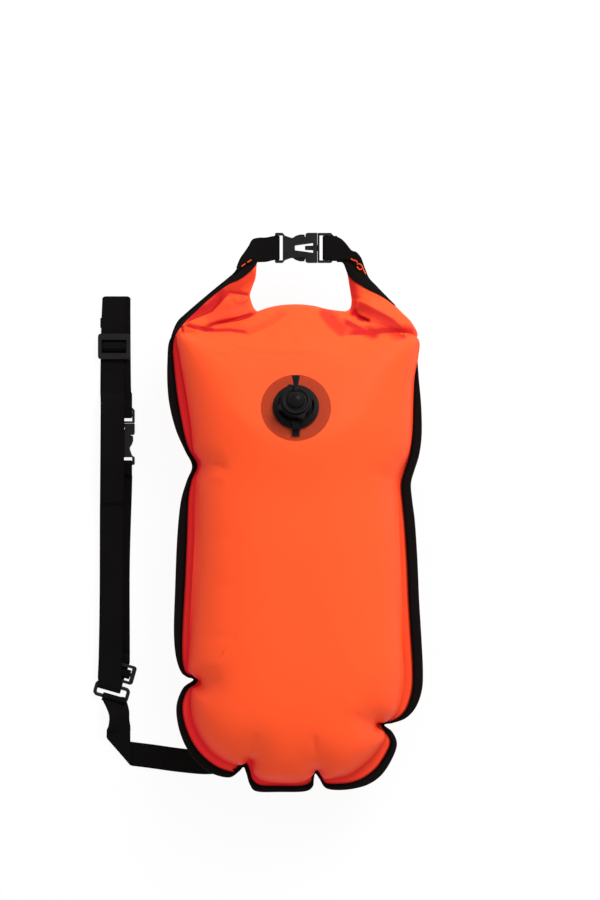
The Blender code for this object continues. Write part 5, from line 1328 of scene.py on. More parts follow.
# %% [markdown]
# ## The zigzag seam
#
# The thread is a real tube that jumps over the inner edge of the tape, because its teeth are what
# one sees against the orange. The same seam is sewn on both sides of the rim.

# %% Zigzag seam
STITCH_PITCH = 0.0021
STITCH_HALF = 0.0013
STITCH_ON_TAPE = 1.3
THREAD_RADIUS = 0.00048
THREAD_SIDES = 5
THREAD_LIFT = 1.4
CLOTH_LEVEL = 0.0009


def even_walk(points, pitch):
    """Places at equal steps along a line of points, as segment numbers with a share."""
    lengths = np.linalg.norm(np.diff(points, axis=0), axis=1)
    starts = np.concatenate(([0.0], np.cumsum(lengths)))
    wanted = np.arange(0.0, starts[-1], pitch)
    return np.interp(wanted, starts, np.arange(len(points)))


for side, label in ((1.0, "upper"), (-1.0, "lower")):
    thread = []
    steps = even_walk(bound_rim, STITCH_PITCH / 2)[2:-2]
    for k, step in enumerate(steps):
        i = int(step)
        share = step - i
        base = bound_rim[i] * (1.0 - share) + bound_rim[i + 1] * share
        inward = bound_in[i] * (1.0 - share) + bound_in[i + 1] * share
        width = bound_width[i] * (1.0 - share) + bound_width[i + 1] * share
        far = k % 2 == 0
        plan = base + inward * (width + (STITCH_HALF if far else -STITCH_HALF * STITCH_ON_TAPE))
        on_tape = BINDING_LEVEL + BINDING_WALL + THREAD_RADIUS * THREAD_LIFT
        rise = CLOTH_LEVEL + THREAD_RADIUS if far else on_tape
        thread.append((plan[0], plan[1], SEAM_Z + side * rise))
    tube_along(f"zigzag_thread_{label}", thread, THREAD_RADIUS, THREAD_SIDES, black_tape, "buoy")
print("stitches on each side:", len(steps))

# %% [markdown]
# ## Moulded plastic
#
# The buckles, sliders, the ring and the valve are moulded in black plastic. Its skin is slightly
# rough, like the tool it came from, and a little shinier where hands rub it. The rubber of the
# seal and the flap is the same recipe with a duller skin.

# %% Plastic and rubber finishes
PLASTIC_BLACK = (0.0050, 0.0046, 0.0046, 1.0)
PLASTIC_RUBBED = (0.0090, 0.0084, 0.0084, 1.0)
RUBBER_BLACK = (0.0060, 0.0056, 0.0056, 1.0)
RUBBED_SCALE = 90.0
RUBBED_ROUGHNESS = 0.20
GRAIN_BUMP = 0.35


def moulded_black(name, colour, roughness, grain_size, depth, shine):
    """Black moulded plastic or rubber with a fine tool grain and rubbed patches."""
    made, tree, output = new_material(name)
    shader = add_node(tree, "ShaderNodeBsdfPrincipled", Roughness=roughness)
    shader.inputs["Specular IOR Level"].default_value = shine
    place = add_node(tree, "ShaderNodeTexCoord")
    cloud = noise_on(tree, place, RUBBED_SCALE, 4.0)
    tree.links.new(two_colours(tree, cloud, colour, PLASTIC_RUBBED), shader.inputs["Base Color"])
    uneven_roughness(tree, shader, cloud, roughness, RUBBED_ROUGHNESS)
    grain = noise_on(tree, place, 1.0 / grain_size, 2.0)
    finish_with_bump(tree, shader, output, grain, GRAIN_BUMP, depth)
    return made


black_plastic = moulded_black("moulded_black_plastic", PLASTIC_BLACK, roughness=0.40, grain_size=0.0006,
                              depth=0.00004, shine=0.16)
valve_plastic = moulded_black("valve_black_plastic", PLASTIC_BLACK, roughness=0.34, grain_size=0.0009,
                              depth=0.00002, shine=0.05)
black_rubber = moulded_black("black_valve_rubber", RUBBER_BLACK, roughness=0.60, grain_size=0.0008,
                             depth=0.00003, shine=0.15)
print("moulded finishes:", black_plastic.name, valve_plastic.name, black_rubber.name)

# %% [markdown]
# ## Buckles and sliders
#
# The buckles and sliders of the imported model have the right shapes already. A copy of each is
# welded and shaded so that the large faces stay flat and their rounded edges catch the light.

# %% Moulded pieces of the buckles and sliders
SHARP_EDGE = math.radians(52.0)
FLAT_WITHIN = math.radians(0.8)
WELD_WITHIN = 0.000002


def moulded_copy(node, body):
    """A welded copy of a packed plastic piece whose edges are shaded round."""
    mesh = nodes[node].data.copy()
    mesh.name = f"{node}_moulded"
    builder = bmesh.new()
    builder.from_mesh(mesh)
    bmesh.ops.remove_doubles(builder, verts=builder.verts, dist=WELD_WITHIN)
    bmesh.ops.dissolve_limit(builder, angle_limit=FLAT_WITHIN, verts=builder.verts,
                             edges=builder.edges)
    for face in builder.faces:
        face.smooth = True
    for edge in builder.edges:
        edge.smooth = len(edge.link_faces) != 2 or edge.calc_face_angle(0.0) < SHARP_EDGE
    builder.to_mesh(mesh)
    builder.free()
    mesh.materials.clear()
    mesh.materials.append(black_plastic)
    piece = bpy.data.objects.new(f"{node}_moulded", mesh)
    bpy.context.scene.collection.objects.link(piece)
    even = piece.modifiers.new("flat_faces", "WEIGHTED_NORMAL")
    even.keep_sharp = True
    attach(piece, body)
    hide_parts(node)
    return piece


MOULDED = (
    ("handle_buckle_female", "buoy"), ("handle_buckle_male", "handle_male"),
    ("handle_prong_top", "handle_prong_top"), ("handle_prong_bottom", "handle_prong_bottom"),
    ("belt_buckle_male", "belt"), ("belt_buckle_female", "belt_female"),
    ("belt_prong_left", "belt_prong_left"), ("belt_prong_right", "belt_prong_right"),
    ("belt_slider", "belt_slider"), ("belt_keeper", "belt_keeper"),
)
moulded = [moulded_copy(node, body) for node, body in MOULDED]
print("moulded pieces:", len(moulded))

# %% [markdown]
# ## The ring between belt and leash
#
# A rectangular ring joins the belt and the leash. It is a round bar bent into a rounded box,
# tilted a little, because the leash pulls on it from one side.

# %% Ring
RING_TOP_BAR = (-0.1930, -0.1342)
RING_TILT = math.radians(-16.0)
RING_LENGTH = 0.038
RING_PITCH = 0.013
RING_WIRE = 0.0019
RING_CORNER = 0.0034
RING_CORNER_STEPS = 8
RING_SIDES = 20
RING_Z = WEB_THICKNESS + CLEARANCE + RING_WIRE

ring_along = np.array((math.cos(RING_TILT), math.sin(RING_TILT), 0.0))
ring_away = np.array((-math.sin(RING_TILT), math.cos(RING_TILT), 0.0))
ring_top = np.array((*RING_TOP_BAR, RING_Z))
ring_low = ring_top - ring_away * RING_PITCH


def rounded_box(half_x, half_y, corner, steps):
    """Points of a rounded rectangle round the origin."""
    points = []
    for turn, (sx, sy) in enumerate(((1, 1), (-1, 1), (-1, -1), (1, -1))):
        for step in range(steps + 1):
            angle = math.pi / 2 * (turn + step / steps)
            points.append((sx * (half_x - corner) + corner * math.cos(angle),
                           sy * (half_y - corner) + corner * math.sin(angle)))
    return points


ring_line = [(ring_top + ring_low) / 2 + ring_along * x + ring_away * y
             for x, y in rounded_box(RING_LENGTH / 2 - RING_WIRE, RING_PITCH / 2, RING_CORNER,
                                 RING_CORNER_STEPS)]
ring = tube_along("belt_ring", ring_line, RING_WIRE, RING_SIDES, black_plastic, "leash_ring",
                  closed=True)
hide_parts("leash_ring")
print("ring points:", len(ring_line))

# %% [markdown]
# ## The waist belt
#
# The belt is one length of webbing, folded flat in two layers beside the buoy. The lower layer
# starts at the bar of the buckle's tongue half, turns at the top and comes back as the upper
# layer. That one runs over the buckle, through the slider and the keeper, round the ring, and
# ends underneath, where the short piece from the socket half of the buckle meets it.

# %% Measures of the belt
BELT_BUCKLE = (-0.1859, 0.1272)
BUCKLE_THICKNESS = 0.0096
BUCKLE_MOUTH = 0.0140
FEMALE_LENGTH = 0.0436
MALE_LENGTH = 0.0167
RELEASE_TRAVEL = 0.030
BELT_TOP = (-0.1876, 0.2741)
BELT_BACK_SHIFT = 0.0012
BELT_FRONT_X = (-0.1921, -0.1935, -0.1943, -0.1934, -0.1940, -0.1945, -0.1948, -0.1958, -0.1966)
BELT_ON_RING = -0.0035
LOOSE_LOOP = 1.9
FOLD_RADIUS = 0.0012
BELT_LIFT_RUN = 0.020
BELT_SPLIT_Y = -0.100
SLIDER_CENTRE = (-0.1921, 0.2220)
SLIDER_LENGTH = 0.0270
FLAT = WEB_THICKNESS / 2
RIGHT = (1.0, 0.0, 0.0)
DOWN = (0.0, 0.0, -1.0)


def on_the_floor(rows):
    """Rows of a strap, none of them under the floor."""
    return [(row[0], row[1], max(row[2], FLAT), *row[3:]) for row in rows]


def onward(rows, steps):
    """A smooth run through some rows, without the first one."""
    return [tuple(row) for row in smooth_rows(rows, steps)[1:]]


print("top of the belt at:", BELT_TOP)

# %% [markdown]
# ## The route of the long webbing
#
# The route is made in stretches that follow each other: round the bar of the tongue half, up to
# the top, the fold, back over the buckle and through the sliders, round the ring, and underneath.

# %% Route of the long belt webbing


def belt_rows():
    """Rows of the long webbing, from the tongue half of the buckle to its end under the ring."""
    bar = (BELT_BUCKLE[0], BELT_BUCKLE[1] + MALE_BAR, BUCKLE_THICKNESS / 2)
    wrap = around_bar(bar, (0.0, 1.0, 0.0), DOWN, hold=END_BAR_HOLD)
    route = [(*p, *RIGHT) for p in wrap]
    leave = wrap[-1]
    fold_y = BELT_TOP[1] - FOLD_RADIUS
    settle = leave[1] + END_BAR_HOLD + TAIL
    lower = [(*leave, *RIGHT), (leave[0], settle, leave[2], *RIGHT),
             (leave[0] - BELT_BACK_SHIFT, settle + BELT_LIFT_RUN / 2, FLAT, *RIGHT),
             (BELT_TOP[0], fold_y - BELT_LIFT_RUN, FLAT, *RIGHT), (BELT_TOP[0], fold_y, FLAT, *RIGHT)]
    route += onward(lower, 8)
    for angle in np.linspace(0.0, math.pi, 14)[1:]:
        route.append((BELT_TOP[0] + (BELT_FRONT_X[0] - BELT_TOP[0]) * angle / math.pi,
                      fold_y + FOLD_RADIUS * math.sin(angle),
                      FLAT + FOLD_RADIUS * (1.0 - math.cos(angle)), *RIGHT))
    low = FLAT + 2 * FOLD_RADIUS
    over = BUCKLE_THICKNESS + 2 * CLEARANCE + WEB_THICKNESS
    lift_end = BELT_BUCKLE[1] + BUCKLE_MOUTH + MALE_LENGTH
    drop_start = BELT_BUCKLE[1] + BUCKLE_MOUTH - FEMALE_LENGTH - RELEASE_TRAVEL
    wrap_z = RING_WIRE + CLEARANCE + FLAT
    last = ring_top + ring_along * BELT_ON_RING + np.array((0.0, 0.0, wrap_z))
    front_rows = ((fold_y, low), (SLIDER_CENTRE[1] + SLIDER_LENGTH / 2, low),
                  (lift_end + BELT_LIFT_RUN, low), (lift_end, over), (drop_start, over),
                  (drop_start - BELT_LIFT_RUN, last[2] + CLEARANCE),
                  ((drop_start + last[1]) / 2 - TAIL, last[2]),
                  (last[1] + 1.5 * BELT_LIFT_RUN, last[2]), (last[1] + BELT_LIFT_RUN / 2, last[2]))
    front = [(x, y, z, *RIGHT) for x, (y, z) in zip(BELT_FRONT_X, front_rows)] + [(*last, *ring_along)]
    route += onward(front, 9)
    for angle in np.linspace(0.0, math.pi, 18)[1:]:
        loop = ring_away * (wrap_z * LOOSE_LOOP * math.sin(angle))
        point = ring_top + ring_along * BELT_ON_RING - loop
        route.append((*(point + np.array((0.0, 0.0, wrap_z * math.cos(angle)))), *ring_along))
    under = np.array(route[-1][:3])
    back_x = BELT_BUCKLE[0] - BELT_BACK_SHIFT * 2
    rise = [(*under, *ring_along), (*(under + ring_away * BELT_LIFT_RUN / 2), *ring_along),
            (back_x, BELT_SPLIT_Y - BELT_LIFT_RUN / 2, FLAT, *RIGHT)]
    route += onward(rise, 6)
    route.append((back_x, BELT_SPLIT_Y, FLAT, *RIGHT))
    return on_the_floor(route)


print("belt rows:", len(belt_rows()))

# %% [markdown]
# ## The two lengths of the belt
#
# The short webbing lies flat behind the socket half and meets the end of the long one. A thin sewn
# end lies between the two layers of the belt.

# %% Belt webbing
SEWN_END = (0.2416, 0.2521)
SEWN_THICKNESS = 0.0007


def short_belt_rows():
    """Rows of the short belt webbing, from the socket half of the buckle to the other piece."""
    back_x = BELT_BUCKLE[0] - BELT_BACK_SHIFT * 2
    bar = (BELT_BUCKLE[0], BELT_BUCKLE[1] + FEMALE_BAR, BUCKLE_THICKNESS / 2)
    wrap = around_bar(bar, (0.0, -1.0, 0.0), DOWN)
    leave = wrap[-1]
    settle = leave[1] - TAIL
    lower = [(*leave, *RIGHT), (leave[0], settle, leave[2], *RIGHT),
             (leave[0], settle - BELT_LIFT_RUN / 2, FLAT, *RIGHT),
             (back_x, (settle + BELT_SPLIT_Y) / 2, FLAT, *RIGHT),
             (back_x, BELT_SPLIT_Y + BELT_LIFT_RUN / 2, FLAT, *RIGHT)]
    route = [(*p, *RIGHT) for p in wrap] + onward(lower, 8)
    route.append((back_x, BELT_SPLIT_Y, FLAT, *RIGHT))
    return on_the_floor(route)


belt = woven_sheet("belt_long_webbing", strap_grid(belt_rows(), square=False), black_webbing, "belt")
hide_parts("belt_webbing")
belt_short = woven_sheet("belt_short_webbing", strap_grid(short_belt_rows()), black_webbing, None)
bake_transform(belt_short)
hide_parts("belt_webbing_short")

sewn_end = [(BELT_FRONT_X[2], y, FLAT + FOLD_RADIUS, *RIGHT) for y in np.linspace(*SEWN_END, 9)]
woven_sheet("belt_sewn_end", strap_grid(sewn_end), black_webbing, "belt", SEWN_THICKNESS)
print("belt pieces:", belt.name, belt_short.name)

# %% [markdown]
# ## Webbing through the slider and the keeper
#
# Both sliders hold a short piece of the webbing. It comes in under one side frame, climbs over the
# bar in the middle and goes down under the other frame, so only the top of its bend is seen.

# %% Webbing in the sliders
BAR_HALF = 0.0020
WEB_FOOT = 0.0008
LOOPED_THICKNESS = 0.0008
CREST = 0.0017
LEAD_IN = 0.0016
KEEPER_CENTRE = (-0.1873, -0.1196)
SLIDER_LOW = 0.0043
KEEPER_LOW = 0.0019
KEEPER_TURN = math.radians(-16.0)


def looped_webbing(name, centre, low, turn, body, node):
    """A short piece of webbing that climbs over the bar of a slider."""
    crest = CREST + CLEARANCE + WEB_FOOT
    lean = BAR_HALF + CLEARANCE + LOOPED_THICKNESS
    bend = ((-lean - LEAD_IN, WEB_FOOT), (-lean, WEB_FOOT + crest * 0.3), (-BAR_HALF, crest * 0.97),
            (0.0, crest * 1.02), (BAR_HALF, crest * 0.97), (lean, WEB_FOOT + crest * 0.3),
            (lean + LEAD_IN, WEB_FOOT))
    along = np.array((math.cos(turn), math.sin(turn), 0.0))
    ahead = np.array((-math.sin(turn), math.cos(turn), 0.0))
    rows = [(*(np.array((*centre, low + rise)) + ahead * run), *along) for run, rise in smooth_rows(bend, 5)]
    piece = woven_sheet(name, strap_grid(rows), black_webbing, body, LOOPED_THICKNESS)
    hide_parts(node)


looped_webbing("slider_looped_webbing", SLIDER_CENTRE, SLIDER_LOW, 0.0, "belt_slider", "belt_slider_webbing")
looped_webbing("keeper_looped_webbing", KEEPER_CENTRE, KEEPER_LOW, KEEPER_TURN, "belt_keeper",
               "belt_keeper_webbing")
print("looped pieces: 2")

# %% [markdown]
# ## The leash and its patch
#
# The leash goes under the bag to a welded patch on its back, which is not flat. So one helper
# finds the back's outside and the way out of it. The other makes the corner of the leash the way
# cloth folds: every point keeps its distance along the strap and rolls over one slanting line.

# %% Helpers for the leash
LEASH_FOLD_RADIUS = 0.0014
LEASH_FOLD_ANGLE = math.radians(49.0)
LEASH_REACH = 0.018
SLOPE_STEP = 0.0005


def back_face(x, y):
    """A point on the outside of the back and the way out of it."""
    plan = np.array(((x, y), (x + SLOPE_STEP, y), (x, y + SLOPE_STEP)))
    z = back_height(blown_up(plan))
    out = np.cross((0.0, SLOPE_STEP, z[2] - z[0]), (SLOPE_STEP, 0.0, z[1] - z[0]))
    return np.array((x, y, z[0])), out / np.linalg.norm(out)


def folded_over(corner, steps):
    """A strap that comes in towards -Y, rolls over a slanting line and leaves underneath."""
    axis = np.array((math.cos(LEASH_FOLD_ANGLE), -math.sin(LEASH_FOLD_ANGLE), 0.0))
    across = np.array((axis[1], -axis[0], 0.0))
    grid = []
    for run in np.linspace(-LEASH_REACH, LEASH_REACH, steps):
        row = []
        for column in ACROSS:
            flat = np.array((column * WEB_WIDTH, -run, 0.0))
            over = float(flat @ across)
            angle = min(max(over / LEASH_FOLD_RADIUS, 0.0), math.pi)
            past = max(over - math.pi * LEASH_FOLD_RADIUS, 0.0)
            move = min(over, 0.0) + LEASH_FOLD_RADIUS * math.sin(angle) - past
            place = corner + flat - across * over + across * move
            place[2] -= LEASH_FOLD_RADIUS * (1.0 - math.cos(angle))
            row.append(place)
        grid.append(row)
    return np.array(grid)


print("corner of the leash:", round(math.degrees(LEASH_FOLD_ANGLE)), "degrees")

# %% [markdown]
# ## The run of the leash
#
# The leash is sewn round the low bar of the ring, runs down, folds over at its corner, and goes
# under the bag, where it ends on the patch.

# %% Leash
LEASH_FOLD = (-0.1876, -0.2008)
LEASH_ON_RING = 0.0045
LEASH_TWIST = math.radians(34.0)
LEASH_DOWN = ((-0.1867, -0.1622, 0.0105), (-0.1867, -0.1735, 0.0090))
LEASH_STRAIGHT = 0.020
FOLD_STEPS = 141
LEASH_END_SHARES = (-0.80, -0.40, -0.15, 0.10)
LEASH_SLACKS = (0.00625, 0.0003, 0.0, 0.0)
LEASH_TAIL = 0.0050
LEASH_ON_FLOOR = ((-0.1200, -0.2132), (-0.0900, -0.2150), (-0.0620, -0.2090))
PATCH_SIZE = (0.044, 0.030)
PATCH_THICKNESS = 0.0010
PATCH_CENTRE = (0.0010, -0.1800)

wrap = around_bar(ring_low + ring_along * LEASH_ON_RING, -ring_away, DOWN, RING_WIRE, tail=LEASH_TAIL)
leave = wrap[-1]
corner = np.array((*LEASH_FOLD, FLAT + 2 * LEASH_FOLD_RADIUS))
above_fold = corner + np.array((0.0, LEASH_REACH, 0.0))
twisted = (math.cos(LEASH_TWIST), 0.0, -math.sin(LEASH_TWIST))
down = [(*leave, *ring_along)] + [(*place, *twisted) for place in LEASH_DOWN] + [(*above_fold, *RIGHT)]
coming = [(*p, *ring_along) for p in wrap] + onward(down, 8)[:-1]
fold = folded_over(corner, FOLD_STEPS)
middle_column = len(ACROSS) // 2
fold_end = fold[-1][middle_column]
fold_side = fold[-1][-1] - fold[-1][0]
fold_side /= np.linalg.norm(fold_side)
away_from_fold = np.array((-fold_side[1], fold_side[0], 0.0))
under = [(*fold_end, *fold_side), (*(fold_end + away_from_fold * LEASH_STRAIGHT), *fold_side)]
under += [(x, y, FLAT, 0.0, -1.0, 0.0) for x, y in LEASH_ON_FLOOR]
for share, slack in zip(LEASH_END_SHARES, LEASH_SLACKS):
    point, out = back_face(PATCH_CENTRE[0] + share * PATCH_SIZE[0], PATCH_CENTRE[1])
    slope = np.cross(out, (1.0, 0.0, 0.0))
    under.append((*(point + out * (PATCH_THICKNESS + 4 * CLEARANCE + FLAT + slack)), *slope))
going = []
for x, y, z, *side in onward(under, 9):
    lowest = FLAT + WEB_WIDTH / 2 * abs(side[2]) / float(np.linalg.norm(side))
    going.append((x, y, max(z, lowest), *side))
leash_grid = np.concatenate((strap_grid(on_the_floor(coming)), fold, strap_grid(going)))
leash = woven_sheet("leash_webbing", leash_grid, black_webbing, "buoy")
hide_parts("leash")
print("leash rows:", len(leash_grid))

# %% [markdown]
# ## The welded patch under the leash
#
# A patch of the same coated cloth is welded on the back, and the end of the leash is sewn to it
# with a box and a cross of thread. Its corners are round, its rim is pressed flat by the weld,
# and a shallow channel runs a few millimetres inside the rim.

# %% Patch and its stitching
PATCH_CORNER = 0.006
PATCH_RINGS = ((1.0, 0.0), (1.0, 0.45), (0.985, 0.62), (0.955, 0.66), (0.93, 0.58), (0.90, 0.62),
               (0.87, 0.92), (0.83, 1.0), (0.70, 1.0), (0.55, 1.0), (0.40, 1.0), (0.25, 1.0), (0.12, 1.0))
BOX_STITCH = ((-0.0150, -0.0090), (0.0030, -0.0090), (0.0030, 0.0090), (-0.0150, 0.0090),
              (-0.0150, -0.0090), (0.0030, 0.0090), (0.0030, -0.0090), (-0.0150, 0.0090))
STITCH_STEP = 0.0024
STITCH_SINK = 0.0004
PATCH_RIM_PAINTED_SHADE = 0.55
PATCH_PAINTED_SHADE = 0.15
PATCH_FLAT_FROM = 0.9

patch_line = rounded_box(PATCH_SIZE[0] / 2, PATCH_SIZE[1] / 2, PATCH_CORNER, 10)
patch_points = []
for share, thick in PATCH_RINGS:
    for x, y in patch_line:
        point, out = back_face(PATCH_CENTRE[0] + x * share, PATCH_CENTRE[1] + y * share)
        patch_points.append(point + out * (CLEARANCE + PATCH_THICKNESS * thick))
point, out = back_face(*PATCH_CENTRE)
patch_points.append(point + out * (CLEARANCE + PATCH_THICKNESS))
patch_faces = ring_sheet_faces(len(PATCH_RINGS), len(patch_line))
patch_faces.append(tuple(reversed(range(len(patch_line)))))
patch = mesh_object("welded_leash_patch", patch_points, patch_faces, orange_cloth, "buoy")
# Painted shade: deeper at the pressed rim and its channel, light over the rest of the patch.
patch_painted_shade = [PATCH_RIM_PAINTED_SHADE if thick < PATCH_FLAT_FROM else PATCH_PAINTED_SHADE
              for _, thick in PATCH_RINGS for _ in patch_line]
set_painted_shade(patch, np.array(patch_painted_shade + [PATCH_PAINTED_SHADE]))
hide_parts("leash_patch")

stitches = []
for (ax, ay), (bx, by) in zip(BOX_STITCH, BOX_STITCH[1:]):
    count = max(int(math.hypot(bx - ax, by - ay) / STITCH_STEP), 2)
    for step in range(2 * count):
        share = step / (2 * count)
        x = PATCH_CENTRE[0] + ax + (bx - ax) * share
        point, out = back_face(x, PATCH_CENTRE[1] + ay + (by - ay) * share)
        sunk = STITCH_SINK if step % 2 else 0.0
        lift = PATCH_THICKNESS + 4 * CLEARANCE + WEB_THICKNESS + THREAD_RADIUS - sunk
        stitches.append(point + out * lift)
tube_along("leash_box_stitch", stitches, THREAD_RADIUS, THREAD_SIDES + 1, black_tape, "buoy")
print("patch points:", len(patch_points), "stitches:", len(stitches) // 2)

# %% [markdown]
# ## Helpers for turned work
#
# The valve is turned work: each of its pieces is a profile of radii and heights that is swept
# round one leaning axis. Sharp corners of a profile are rounded first, since no moulded corner is
# sharp.

# %% Helpers for turned pieces
VALVE_PLACE = Matrix.Translation((*VALVE_CENTRE, VALVE_SEAT_Z)) @ Matrix.Rotation(-VALVE_TILT, 4, "X")
CORNER_ROUND = 0.0005
CORNER_SHARE = 0.45
TURN_STEPS = 112


def rounded_profile(profile, closed, radius=CORNER_ROUND, steps=4):
    """A profile of (radius, height) places with every corner rounded."""
    places = [np.array(p, dtype=float) for p in profile]
    out = []
    for i, here in enumerate(places):
        if not closed and i in (0, len(places) - 1):
            out.append(here)
            continue
        before, after = places[i - 1], places[(i + 1) % len(places)]
        back = min(radius, np.linalg.norm(before - here) * CORNER_SHARE)
        on = min(radius, np.linalg.norm(after - here) * CORNER_SHARE)
        start = here + (before - here) / np.linalg.norm(before - here) * back
        end = here + (after - here) / np.linalg.norm(after - here) * on
        for step in range(steps + 1):
            t = step / steps
            out.append(start * (1 - t) ** 2 + here * 2 * t * (1 - t) + end * t ** 2)
    return out


def turned(profile, closed=True, reach=None, steps=TURN_STEPS):
    """Points and faces of a profile that is swept round the valve's axis.

    reach may return a factor for the radius from the angle and the number of the place.
    """
    size = len(profile)
    points = []
    for step in range(steps):
        angle = 2.0 * math.pi * step / steps
        for j, (radius, height) in enumerate(profile):
            wide = radius * (reach(angle, j) if reach else 1.0)
            points.append((wide * math.cos(angle), wide * math.sin(angle), height))
    faces = []
    for step in range(steps):
        here, there = step * size, (step + 1) % steps * size
        for j in range(size if closed else size - 1):
            k = (j + 1) % size
            faces.append((here + j, there + j, there + k, here + k))
    if not closed:
        faces.append(tuple(step * size for step in reversed(range(steps))))
        faces.append(tuple(step * size + size - 1 for step in range(steps)))
    return points, faces


def on_valve(name, made, finish, body, node):
    """A piece of the valve, put on its leaning axis."""
    points, faces = made
    placed = [tuple(VALVE_PLACE @ Vector(p)) for p in points]
    piece = mesh_object(name, placed, faces, finish, body)
    even = piece.modifiers.new("flat_faces", "WEIGHTED_NORMAL")
    even.keep_sharp = True
    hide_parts(node)
    return piece


print("the valve leans", round(math.degrees(VALVE_TILT)), "degrees")

# %% [markdown]
# ## Film and base of the valve
#
# A disc of clear film with a smoky tint is welded to the cloth, so the orange shows through it.
# The base stands on it in two steps, with a bore for the stem of the screwed-in body.

# %% Film and base
WELD_THICKNESS = 0.0008
BASE_RADIUS = 0.0233
BORE_RADIUS = 0.0160
BASE_STEP = 0.0024
BASE_STEP_IN = 0.0017
BASE_WALL = 0.0019
BASE_HEIGHT = 0.0082
BASE_DEPTH = 0.0090
FILM_TINT = (0.050, 0.010, 0.004, 1.0)
FILM_COVER = 0.24
FILM_ROUGHNESS = 0.30
FILM_SHINE = 0.12
FILM_CLOUDS = 140.0
HATCH_PITCH = 0.0012
HATCH_BUMP = 0.3
HATCH_DEPTH = 0.00005


def smoky_clear_film(name):
    """Clear plastic film with a smoky tint and the fine cross-hatch of its weld."""
    made, tree, output = new_material(name)
    shader = add_node(tree, "ShaderNodeBsdfPrincipled", Roughness=FILM_ROUGHNESS, Alpha=FILM_COVER)
    shader.inputs["Base Color"].default_value = FILM_TINT
    shader.inputs["Specular IOR Level"].default_value = FILM_SHINE
    place = add_node(tree, "ShaderNodeTexCoord")
    hatch = thread_grid(tree, place.outputs["Object"], HATCH_PITCH, HATCH_PITCH)
    height = add_math(tree, "ADD", hatch, noise_on(tree, place, FILM_CLOUDS, 3.0))
    finish_with_bump(tree, shader, output, height, HATCH_BUMP, HATCH_DEPTH)
    return made


smoky_film = smoky_clear_film("smoky_clear_film")

film_bore = BORE_RADIUS + CLEARANCE
film_profile = ((film_bore, 0.0), (WELD_RADIUS, 0.0), (WELD_RADIUS - 0.0003, WELD_THICKNESS / 2),
                (WELD_RADIUS - 0.0012, WELD_THICKNESS), (film_bore, WELD_THICKNESS))
on_valve("valve_film", turned(film_profile), smoky_film, "buoy", "valve_weld_flange")

base_low = WELD_THICKNESS + CLEARANCE
base_step = base_low + BASE_STEP
base_rim = BASE_RADIUS - 2 * BASE_STEP_IN
base_shelf = base_rim - BASE_WALL
base_bore = BORE_RADIUS - BASE_WALL
base_profile = ((BASE_RADIUS, base_low), (BASE_RADIUS, base_step), (BASE_RADIUS - BASE_STEP_IN, base_step),
                (BASE_RADIUS - BASE_STEP_IN, base_step + BASE_STEP), (base_rim, base_step + BASE_STEP),
                (base_rim, BASE_HEIGHT), (base_shelf, BASE_HEIGHT), (base_shelf, base_step),
                (base_bore, base_step - BASE_STEP / 2), (base_bore, -BASE_DEPTH),
                (BORE_RADIUS, -BASE_DEPTH), (BORE_RADIUS, base_low))
on_valve("valve_base_ring", turned(rounded_profile(base_profile, True)), valve_plastic, "buoy",
         "valve_base")
print("valve base:", round(BASE_RADIUS * 2000, 1), "mm across")

# %% [markdown]
# ## What screws into the valve
#
# The body has a stem with a collar, a rubber seal under the collar and four finger lobes on its
# head. A rubber flap at the foot of the stem keeps the air in while the cap is open.

# %% Screwed-in body, seal and flap
STEM_WALL = 0.0018
STEM_DEPTH = 0.0068
NECK_RADIUS = 0.0142
LOBE_Z = 0.0145
LOBE_THICKNESS = 0.0042
LOBE_RADIUS = 0.0160
LOBE_REACH = 0.0038
LOBE_TURN = math.radians(21.0)
SEAL_WIRE = 0.0006
FLAP_THICKNESS = 0.0010
LOBE_POWER = 2.4
LOBES = 4.0
RETAINER_ROOM = 0.0013
COLLAR_GAP = 0.0010

stem = base_bore - CLEARANCE
collar = base_shelf - RETAINER_ROOM - COLLAR_GAP
head = ((LOBE_RADIUS * 0.86, LOBE_Z), (LOBE_RADIUS, LOBE_Z + CORNER_ROUND),
        (LOBE_RADIUS, LOBE_Z + LOBE_THICKNESS - CORNER_ROUND), (LOBE_RADIUS * 0.94, LOBE_Z + LOBE_THICKNESS))
body_profile = ((stem - STEM_WALL, LOBE_Z + LOBE_THICKNESS), (stem - STEM_WALL, -STEM_DEPTH),
                (stem, -STEM_DEPTH), (stem, base_step - BASE_STEP / 2),
                (collar, base_step + CLEARANCE + 2 * SEAL_WIRE), (NECK_RADIUS, BASE_HEIGHT),
                (NECK_RADIUS, LOBE_Z - CORNER_ROUND))
smooth_body = rounded_profile(body_profile + head, True, 0.0004)


def lobe_reach(angle, j):
    """Four finger lobes, on the head of the body alone."""
    if smooth_body[j][1] < LOBE_Z - 0.0002 or smooth_body[j][0] < NECK_RADIUS * 0.94:
        return 1.0
    wave = max(math.cos(LOBES * (angle - LOBE_TURN)), 0.0) ** LOBE_POWER
    return (LOBE_RADIUS + LOBE_REACH * wave) / LOBE_RADIUS


on_valve("valve_lobed_body", turned(smooth_body, True, lobe_reach), valve_plastic, "valve_body",
         "valve_body")

seal_out = collar + CLEARANCE
seal_up = base_step + SEAL_WIRE * 0.6
seal_profile = [(seal_out + SEAL_WIRE * math.cos(turn), seal_up + SEAL_WIRE * math.sin(turn))
                for turn in np.linspace(0.0, 2.0 * math.pi, 17)[:-1]]
on_valve("valve_rubber_seal", turned(seal_profile), black_rubber, "valve_body", "valve_seal")

